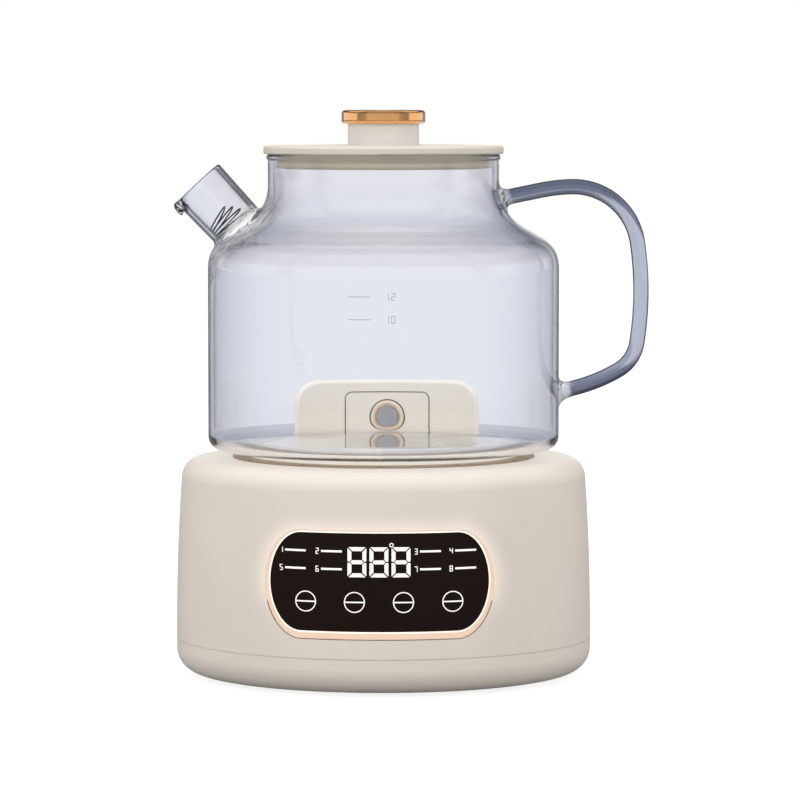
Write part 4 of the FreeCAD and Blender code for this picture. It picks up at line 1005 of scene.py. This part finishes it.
def blown_glass():
    """Clear glass with painted shade where it is seen edge on, crinkled welds with painted dark lines, and
    painted slate shade on the handle.
    """
    made = Finish("pot_glass", white, 0.0)
    times, minus = made.times, made.minus
    made.let_through()
    made.feed(made.out.inputs["Volume"], made.fed("ShaderNodeVolumeAbsorption", glass_absorption))
    rod, tube, weld, plain, rod_shade_side = [made.share(n) for n in ("rod", "tube", "weld", "plain", "slate")]
    waves = weld_streaks(made)
    lines = made.math("ABSOLUTE", minus(waves, 0.5))
    lines = times(minus(1.0, made.ease(lines, *line_limits)), weld)
    facing = made.fed("ShaderNodeLayerWeight", {"Blend": 0.5}, "Facing")
    start = minus(minus(edge_facing, times(tube, edge_sooner_tube)), times(rod, edge_sooner_rod))
    edge = made.ease(facing, start, made.math("ADD", start, edge_width))
    edge = times(times(edge, minus(edge_most, times(weld, edge_less_weld))), minus(1.0, plain))
    # Painted shade in the tint: bluer towards the sides, slate on the rod, dark at the edges and in lines
    # along the welds
    tint = made.mix(times(made.ease(facing, 0.1, 0.9), side_most), white, glass_side_shade)
    tint = made.mix(rod, tint, rod_pale)
    tint = made.mix(rod_shade_side, tint, rod_shade_tint)
    tint = made.mix(edge, tint, glass_edge_shade)
    tint = made.mix(times(lines, line_most), tint, glass_streak_shade)
    milk = times(made.ease(waves, *milk_limits), times(weld, milk_most))
    made.set(IOR=glass_ior, Base_Color=tint, Transmission_Weight=minus(1.0, milk))
    height = times(times(waves, weld), weld_height)
    return made.bump(made.math("ADD", height, made.noise(wave_scale, 2, wave_stretch)), wave_depth)


halo_reach = 9 * mm
halo_strength = 0.24
halo_below = 0.15
halo_colour = linear(255, 226, 196)


def panel_distance(made, x, z):
    """Distance outside the lit frame's outline of a place across and up."""
    half_h = panel_half_h + (glow_top + glow_bottom) / 2
    middle = panel_z + (glow_top - glow_bottom) / 2
    end_w = panel_half_w + glow_side - panel_flat
    x = made.math("MAXIMUM", made.minus(made.math("ABSOLUTE", x), panel_flat), 0.0)
    z = made.math("ABSOLUTE", made.minus(z, middle))
    far = made.length(made.math("DIVIDE", x, end_w), made.math("DIVIDE", z, half_h))
    past = made.times(made.minus(far, 1.0), made.length(x, z))
    return made.math("DIVIDE", past, made.math("MAXIMUM", far, 0.01))


def lit_housing():
    """Cream moulded plastic with the panel's warm light on it."""
    made = moulded("cream_plastic", (225, 216, 206), (221, 212, 202), 0.42)
    x, y, z = made.parts(made.place)
    away = made.math("DIVIDE", panel_distance(made, x, z), halo_reach)
    near = made.math("SUBTRACT", 1.0, away, clamp=True)
    glow = made.times(made.math("POWER", near, 2.0), made.math("LESS_THAN", y, 0.0))
    upper = made.ease(z, panel_z - panel_half_h, panel_z)
    glow = made.times(glow, made.spread(upper, halo_below, 1.0))
    made.set(Coat_Weight=0.12, Coat_Roughness=0.25, Emission_Color=halo_colour)
    return made.set(Emission_Strength=made.times(glow, halo_strength))


# Each has its colour, a second shade and its roughness, then the scale and depth of its grain
plastics = {
    # The heating plate's cream, painted lighter than its own colour to make up for the lid's shadow on it
    "cream_metal": ((250, 246, 238), (246, 241, 231), 0.3, 500),
    "trim_plastic": ((224, 218, 205), (218, 212, 198), 0.4),
    "dark_lens": ((28, 16, 12), (24, 14, 11), 0.3, 300, 0.001 * mm),
    "soft_rubber": ((196, 190, 178), (186, 180, 168), 0.8),
    "seal_rubber": ((194, 184, 164), (186, 176, 155), 0.45),
    # The plate ring's own colour, darkened with painted shade for the contact shadow round the plate
    "gasket": ((146, 130, 108), (138, 121, 99), 0.5),
    "inner_plastic": ((60, 58, 56), (48, 46, 44), 0.5),
    "board": ((34, 84, 52), (28, 72, 46), 0.45),
    "lead": ((170, 60, 44), (150, 50, 40), 0.5),
    "knob_plastic": ((215, 212, 208), (209, 205, 201), 0.4),
    "lid_plastic": ((213, 207, 194), (207, 201, 187), 0.38),
    # The tower's cream is painted lighter than the housing's, to make up for the light that the glass holds
    # back
    "tower_plastic": ((246, 240, 229), (241, 235, 223), 0.42),
    # Dark brown that paints the shadow in the seams under the lit frame, round the sensor's panel and round
    # the probe's ring
    "seam_dark": ((74, 60, 50), (64, 52, 43), 0.7),
    "mark_grey": ((178, 182, 192), (170, 174, 184), 0.6),
}
metals = {
    "gold_metal": ((250, 178, 96), (244, 168, 84), 0.10, 900),
    "steel": ((128, 128, 134), (108, 108, 114), 0.22, 1400),
    "dark_wire": ((62, 62, 66), (48, 48, 52), 0.25, 1400),
    "champagne": ((250, 236, 212), (246, 228, 200), 0.35, 900),
    "brushed_cap": ((190, 191, 202), (170, 172, 184), 0.42, 500, 0.01 * mm),
    "inner_metal": ((150, 150, 152), (120, 120, 124), 0.35, 700),
    "pin_metal": ((200, 186, 140), (186, 170, 126), 0.25, 900),
}
# The last number of each is the strength of its light
lit_plastics = {
    "glow_plastic": ((228, 200, 178), (222, 192, 168), 0.30),
    "mark_light": ((246, 243, 236), (240, 236, 228), 0.35),
    "leak_light": ((255, 250, 240), (255, 246, 234), 0.5),
}
extras = {
    "cream_metal": {"Coat_Weight": 0.5, "Coat_Roughness": 0.12},
    "dark_lens": {"Coat_Weight": 0.05, "Coat_Roughness": 0.05, "Specular_IOR_Level": 0.12},
    "gold_metal": {"Coat_Weight": 1.0, "Coat_Roughness": 0.04, "Coat_IOR": 1.9},
    "champagne": {"Metallic": 0.2},
    "brushed_cap": {"Metallic": 0.35},
}


def make_materials():
    made = {"cream_plastic": lit_housing(), "pot_glass": blown_glass()}
    for build, rows in ((moulded, plastics), (metal, metals), (glowing, lit_plastics)):
        for name, row in rows.items():
            made[name] = build(name, *row).set(**extras.get(name, {}))
    return {name: finish.material for name, finish in made.items()}


own_finish = {
    "knob": "knob_plastic",
    "lid_disc": "lid_plastic",
    "sensor_tower": "tower_plastic",
    "sensor_panel": "tower_plastic",
    "probe_cap": "brushed_cap",
    "probe_ring": "champagne",
    "coil_filter": "dark_wire",
    "lid_seal": "seal_rubber",
    "plate_ring": "gasket",
}


def dress_frame(materials):
    """Gives every CAD node its own finish where it has one, else the material of its slot."""
    slots = {p["node"]: p["material_slot"] for p in frame["record"]["subparts"]}
    for name, node in frame["nodes"].items():
        node.data.materials.clear()
        node.data.materials.append(materials[own_finish.get(name, slots[name])])


# Marks on the panel and the pot


def on_panel(x, z, lift):
    """Place on the lens's curved face."""
    r = side_r(z) - lens_sink + lift
    return Vector((x, -math.sqrt(r ** 2 - x ** 2), z))


def on_pot(x, z, lift):
    """Place on the front of the pot's side."""
    r = pot_r + lift
    return Vector((x, -math.sqrt(r ** 2 - x ** 2), z))


def flat_shape(skin, outline, on=on_panel):
    """Thin plate on a curved face, its outline given by places across and up."""
    outline = with_rows([Vector(p) for p in outline + outline[:1]], mark_step)[:-1]
    front = skin.ring([on(x, z, mark_lift) for x, z in outline])
    back = skin.ring([on(x, z, mark_lift - mark_t) for x, z in outline])
    skin.faces.append(tuple(front))
    skin.faces.append(tuple(back))
    skin.strip(front, back)


def ring_rows(x, z, radius, width, sides):
    """Inner and outer row of places of a flat ring."""
    return [[(x + r * math.cos(a), z + r * math.sin(a)) for a in all_round(sides)]
            for r in (radius, radius + width)]


def flat_ring(skin, x, z, radius, width, sides=48):
    line_strip(skin, ring_rows(x, z, radius, width, sides), on_panel, True, mark_lift, mark_t)


def on_light(x, z, lift):
    """Place on the face of the lit frame and of the side round it."""
    return on_panel(x, z, lens_sink - light_sink + lift)


def on_sensor(x, z, lift):
    """Place on the hollow face of the sensor's tower, which looks at the pot."""
    r = math.hypot(sensor_low.y, sensor_high.x - sensor_lip) - lift
    return Vector((x, math.sqrt(r ** 2 - x ** 2), z))


def line_strip(skin, rows, on, closed, lift, depth):
    """Thin line between two rows of places across and up, laid on a curved face."""
    rings = []
    for a, b in zip(*rows):
        rings.append(skin.ring([on(*a, lift), on(*b, lift), on(*b, lift - depth), on(*a, lift - depth)]))
    skin.strips(rings + rings[:1] if closed else rings)
    if not closed:
        skin.faces += [tuple(rings[0]), tuple(rings[-1])]


def line_piece(name, slot, material, *line):
    skin = Skin()
    line_strip(skin, *line)
    skin.piece(name, "base", material, False)


def bar(skin, x0, x1, z, h, on=on_panel):
    flat_shape(skin, [(x0, z - h / 2), (x1, z - h / 2), (x1, z + h / 2), (x0, z + h / 2)], on)


numeral_segments = {
    "0": "abcdef", "1": "bc", "2": "abged", "3": "abgcd", "4": "fgbc", "5": "afgcd",
    "6": "afgedc", "7": "abc", "8": "abcdefg",
}


def numeral(skin, text, x, z, width, height, t, g, on=on_panel):
    """A digit of seven segments, t wide and with mitred ends and gaps, about a place."""
    w, h = width / 2, height / 2
    top = [(-w + g, h), (w - g, h), (w - t - g, h - t), (-w + t + g, h - t)]
    side = [(w, h - g), (w, g), (w - t / 2, g / 2), (w - t, t / 2 + g / 2), (w - t, h - t - g)]
    middle = [(-w + t / 2 + g, 0), (-w + t + g, t / 2), (w - t - g, t / 2), (w - t / 2 - g, 0),
              (w - t - g, -t / 2), (-w + t + g, -t / 2)]
    found = {"a": (top, 1, 1), "b": (side, 1, 1), "c": (side, 1, -1), "d": (top, 1, -1),
             "e": (side, -1, -1), "f": (side, -1, 1), "g": (middle, 1, 1)}
    for name in numeral_segments[text]:
        outline, across, up = found[name]
        flat_shape(skin, [(x + dx * across, z + dz * up) for dx, dz in outline], on)


def make_digits(material):
    skin = Skin()
    for i in range(digit_count):
        x = (i - (digit_count - 1) / 2) * digit_pitch
        numeral(skin, "8", x, digit_z, digit_w, digit_h, segment_w, segment_gap)
    skin.piece("lit_digits", "base", material, False)
    degree = Skin()
    flat_ring(degree, degree_x, digit_z + digit_h / 2 + degree_r, degree_r - degree_w, degree_w, 24)
    degree.piece("degree_mark", "base", material, False)


def make_touch_marks(material):
    skin = Skin()
    for i in range(touch_count):
        x = (i - (touch_count - 1) / 2) * touch_pitch
        flat_ring(skin, x, touch_z, touch_ring_r, touch_ring_w)
        bar(skin, x - touch_ring_r, x + touch_ring_r, touch_z, touch_bar_h)
    skin.piece("touch_marks", "base", material, False)


def make_labels(material):
    """A number and a plain bar for each of the eight programmes."""
    skin = Skin()
    places = [(x, z) for z in label_rows for x in label_x]
    numeral_w = label_h * numeral_share
    for i, (x, z) in enumerate(places):
        left = x - label_w / 2
        x = left + numeral_w / 2
        numeral(skin, str(i + 1), x, panel_z + z, numeral_w, label_h, label_stroke, numeral_gap)
        bar(skin, left + numeral_w + label_gap, left + label_w, panel_z + z, label_h / 3)
    skin.piece("programme_marks", "base", material, False)


def frame_outline(grow, first=0.0, last=2 * math.pi):
    """The lens's outline from one angle to another, larger by a growth at the sides, top and bottom."""
    side, top, bottom = grow
    places = []
    for k in range(frame_steps + 1):
        a = first + (last - first) * k / frame_steps
        across, up = math.cos(a), math.sin(a)
        height = panel_half_h + (top if up > 0 else bottom)
        reach = math.copysign(max(0.0, abs(across) - flat_turn) / (1 - flat_turn), across) * math.pi / 2
        x = panel_flat * max(-1.0, min(1.0, across / flat_turn))
        x += (panel_half_w + side - panel_flat) * math.sin(reach)
        places.append((x, panel_z + math.copysign(height * math.cos(reach), up)))
    return places


def make_light_lines(light, dark):
    """Bright line where the light leaks out round the lens, and a painted shadow under the lit frame."""
    rows = [frame_outline([grow] * 3)[:-1] for grow in (leak_gap, leak_gap + leak_w)]
    line_piece("light_leak", "glow_plastic", light, rows, on_light, True, mark_lift, mark_t)
    grown = (glow_side, glow_top, glow_bottom)
    rows = [frame_outline([g + more for g in grown], *frame_shadow_ends) for more in (0, frame_shadow_w)]
    lift, depth = light_sink + mark_lift, light_sink + mark_t
    line_piece("frame_painted_shadow", "cream_plastic", dark, rows, on_light, False, lift, depth)


def make_sensor_shadow_lines(material):
    """Painted shadow in the seams round the sensor's panel and round the probe's ring."""
    rows = []
    for grow in (0, seam_w):
        w = sensor_high.x - sensor_lip + grow
        h = sensor_high.z - sensor_lip + grow
        corners = [(-w, base_top_z), (-w, h), (w, h), (w, base_top_z)]
        row = with_rows(rounded_outline(corners, [sensor_corner_r + grow] * 2), 2 * mark_step)
        rows.append([(p.x, p.y) for p in row])
    line_piece("sensor_seam_shadow", "cream_plastic", material, rows, on_sensor, False, seam_lift, seam_t)
    radius = (ring_high.x - ring_low.x) / 2
    rows = ring_rows(0, (ring_high.z + ring_low.z) / 2, radius, ring_seam_w, ring_seam_sides)
    line_piece("ring_seam_shadow", "cream_plastic", material, rows, on_sensor, True, seam_lift, seam_t)


def make_scale(material):
    """Two lines with plain numbers, printed on the front of the pot."""
    skin = Skin()
    for z, text in zip(scale_z, scale_numbers):
        bar(skin, scale_x, scale_x + scale_l, z, scale_stroke, on_pot)
        for k, digit in enumerate(text):
            x = scale_number_x + k * scale_number_h * scale_number_pitch
            width = scale_number_h * numeral_share
            numeral(skin, digit, x, z, width, scale_number_h, scale_stroke, numeral_gap, on_pot)
    skin.piece("pot_scale", "pot", material, False)


# Stage, lights and camera

floor_size = 6.0
floor_grey = (0.30, 0.30, 0.30, 1)
floor_mirrored = (0.30, 0.30, 0.32, 1)
# What glass shows of the floor, by metres from the axis
floor_through = ((0, 0.72), (0.35, 0.66), (1.0, 0.66), (1.25, 0.87), (floor_size, 0.87))
floor_tint = (0.96, 0.97, 1.04, 1)
floor_white = (0.86, 0.86, 0.85, 1)


def make_stage():
    """Pale floor that shows the same white as the background, but keeps the object's shadow."""
    mesh = bpy.data.meshes.new("floor")
    corners = [(x * floor_size, y * floor_size, 0) for x, y in ((-1, -1), (1, -1), (1, 1), (-1, 1))]
    mesh.from_pydata(corners, [], [(0, 1, 2, 3)])
    floor = add_object("floor", mesh)
    material = bpy.data.materials.new("floor")
    tree = Tree(material, "ShaderNodeOutputMaterial")
    plain = tree.fed("ShaderNodeBsdfDiffuse", {"Color": floor_grey})
    place = tree.node("ShaderNodeTexCoord").outputs["Object"]
    away = tree.fed("ShaderNodeVectorMath", {0: place}, "Value", operation="LENGTH")
    stops = [(metres / floor_size, level) for metres, level in floor_through]
    through = tree.ramp(tree.math("DIVIDE", away, floor_size), stops)
    shown = tree.fed("ShaderNodeAddShader", {0: plain, 1: tree.emission(floor_white)})
    surface = tree.by_ray(plain, ("Is Glossy Ray", tree.emission(floor_mirrored)),
                          ("Is Transmission Ray", tree.emission(tree.product(through, floor_tint))),
                          ("Is Camera Ray", shown))
    tree.feed(tree.out.inputs["Surface"], surface)
    mesh.materials.append(material)


# Light of the studio that glass shows behind it and that metal mirrors, by degrees round from the front
seen_around = ((0, 1), (57, 1), (67.5, 0.12), (79, 0.9), (96, 0.9), (104, 0.12), (128, 0.12), (138, 1),
               (180, 1))
mirrored_around = ((0, 0.7), (40, 0.75), (54, 0.45), (72, 0.4), (80, 1), (134, 1), (142, 0.4), (150, 0.3),
                   (166, 0.35), (174, 1), (180, 1))
# The same by height, from level to straight up
seen_up = ((0, 1), (0.16, 1), (0.42, 0.35), (1, 0.35))
mirrored_up = ((0, 1), (0.12, 1), (0.32, 0.25), (0.42, 0.3), (0.6, 0.8), (1, 0.8))
glass_backdrop = (0.80, 0.79, 0.85, 1)
backdrop = linear(255, 255, 253)
world_colour = (1.0, 0.99, 0.98, 1)
world_light = 0.7


def make_world():
    """Studio that is white behind whatever is seen, with dark screens between for glass and metal."""
    world = bpy.data.worlds.new("studio")
    bpy.context.scene.world = world
    tree = Tree(world, "ShaderNodeOutputWorld")
    x, y, z = tree.parts(tree.node("ShaderNodeTexCoord").outputs["Generated"])
    turn = tree.math("ABSOLUTE", tree.math("ARCTAN2", x, tree.times(y, -1.0)))
    turn = tree.math("DIVIDE", turn, math.pi)

    def studio(around, up, *tints):
        level = tree.ramp(turn, [(degrees / 180, level) for degrees, level in around])
        return tree.background(tree.product(level, tree.ramp(z, up), *tints))

    surface = tree.by_ray(tree.background(world_colour, world_light),
                          ("Is Glossy Ray", studio(mirrored_around, mirrored_up)),
                          ("Is Transmission Ray", studio(seen_around, seen_up, glass_backdrop)),
                          ("Is Camera Ray", tree.background(backdrop)))
    tree.feed(tree.out.inputs["Surface"], surface)


def make_lamp(name, place, size, power):
    data = bpy.data.lights.new(name, "AREA")
    data.shape = "RECTANGLE"
    data.size, data.size_y = size
    data.energy = power
    thing = add_object(name, data)
    thing.location = place
    thing.rotation_euler = (lamp_target - Vector(place)).to_track_quat("-Z", "Y").to_euler()
    thing.visible_glossy = False
    thing.visible_transmission = False


lamp_target = Vector((0, 0, 0.12))
# Place, size and power of each
lamps = {
    "top": ((0, -0.1, 1.6), (1.4, 1.4), 12.5),
    "left": ((-1.3, -1.1, 0.7), (0.7, 1.2), 11),
    "right": ((1.3, -1.1, 0.7), (0.7, 1.2), 9.5),
    "back": ((0, 1.4, 0.9), (1.2, 0.8), 6),
}

camera_azimuth = math.radians(1.25)
camera_distance = 2.0
camera_height = 0.2614
camera_dip = math.radians(3.95)
camera_turn = camera_azimuth - math.radians(0.213)
camera_lens = 200
camera_film = 36


def make_camera():
    data = bpy.data.cameras.new("camera")
    data.lens = camera_lens
    data.sensor_width = camera_film
    thing = add_object("camera", data)
    thing.location = (camera_distance * math.sin(camera_azimuth),
                      -camera_distance * math.cos(camera_azimuth), camera_height)
    thing.rotation_euler = (math.radians(90) - camera_dip, 0, camera_turn)
    bpy.context.scene.camera = thing


bpy.context.scene.view_settings.view_transform = "Standard"
make_camera()
make_stage()
make_world()
for lamp, settings in lamps.items():
    make_lamp(lamp, *settings)
materials = make_materials()
dress_frame(materials)
make_glass(materials["pot_glass"])
make_probe_spring(materials["steel"])
make_digits(materials["mark_light"])
make_touch_marks(materials["mark_light"])
make_labels(materials["mark_light"])
make_light_lines(materials["leak_light"], materials["seam_dark"])
make_sensor_shadow_lines(materials["seam_dark"])
make_scale(materials["mark_grey"])
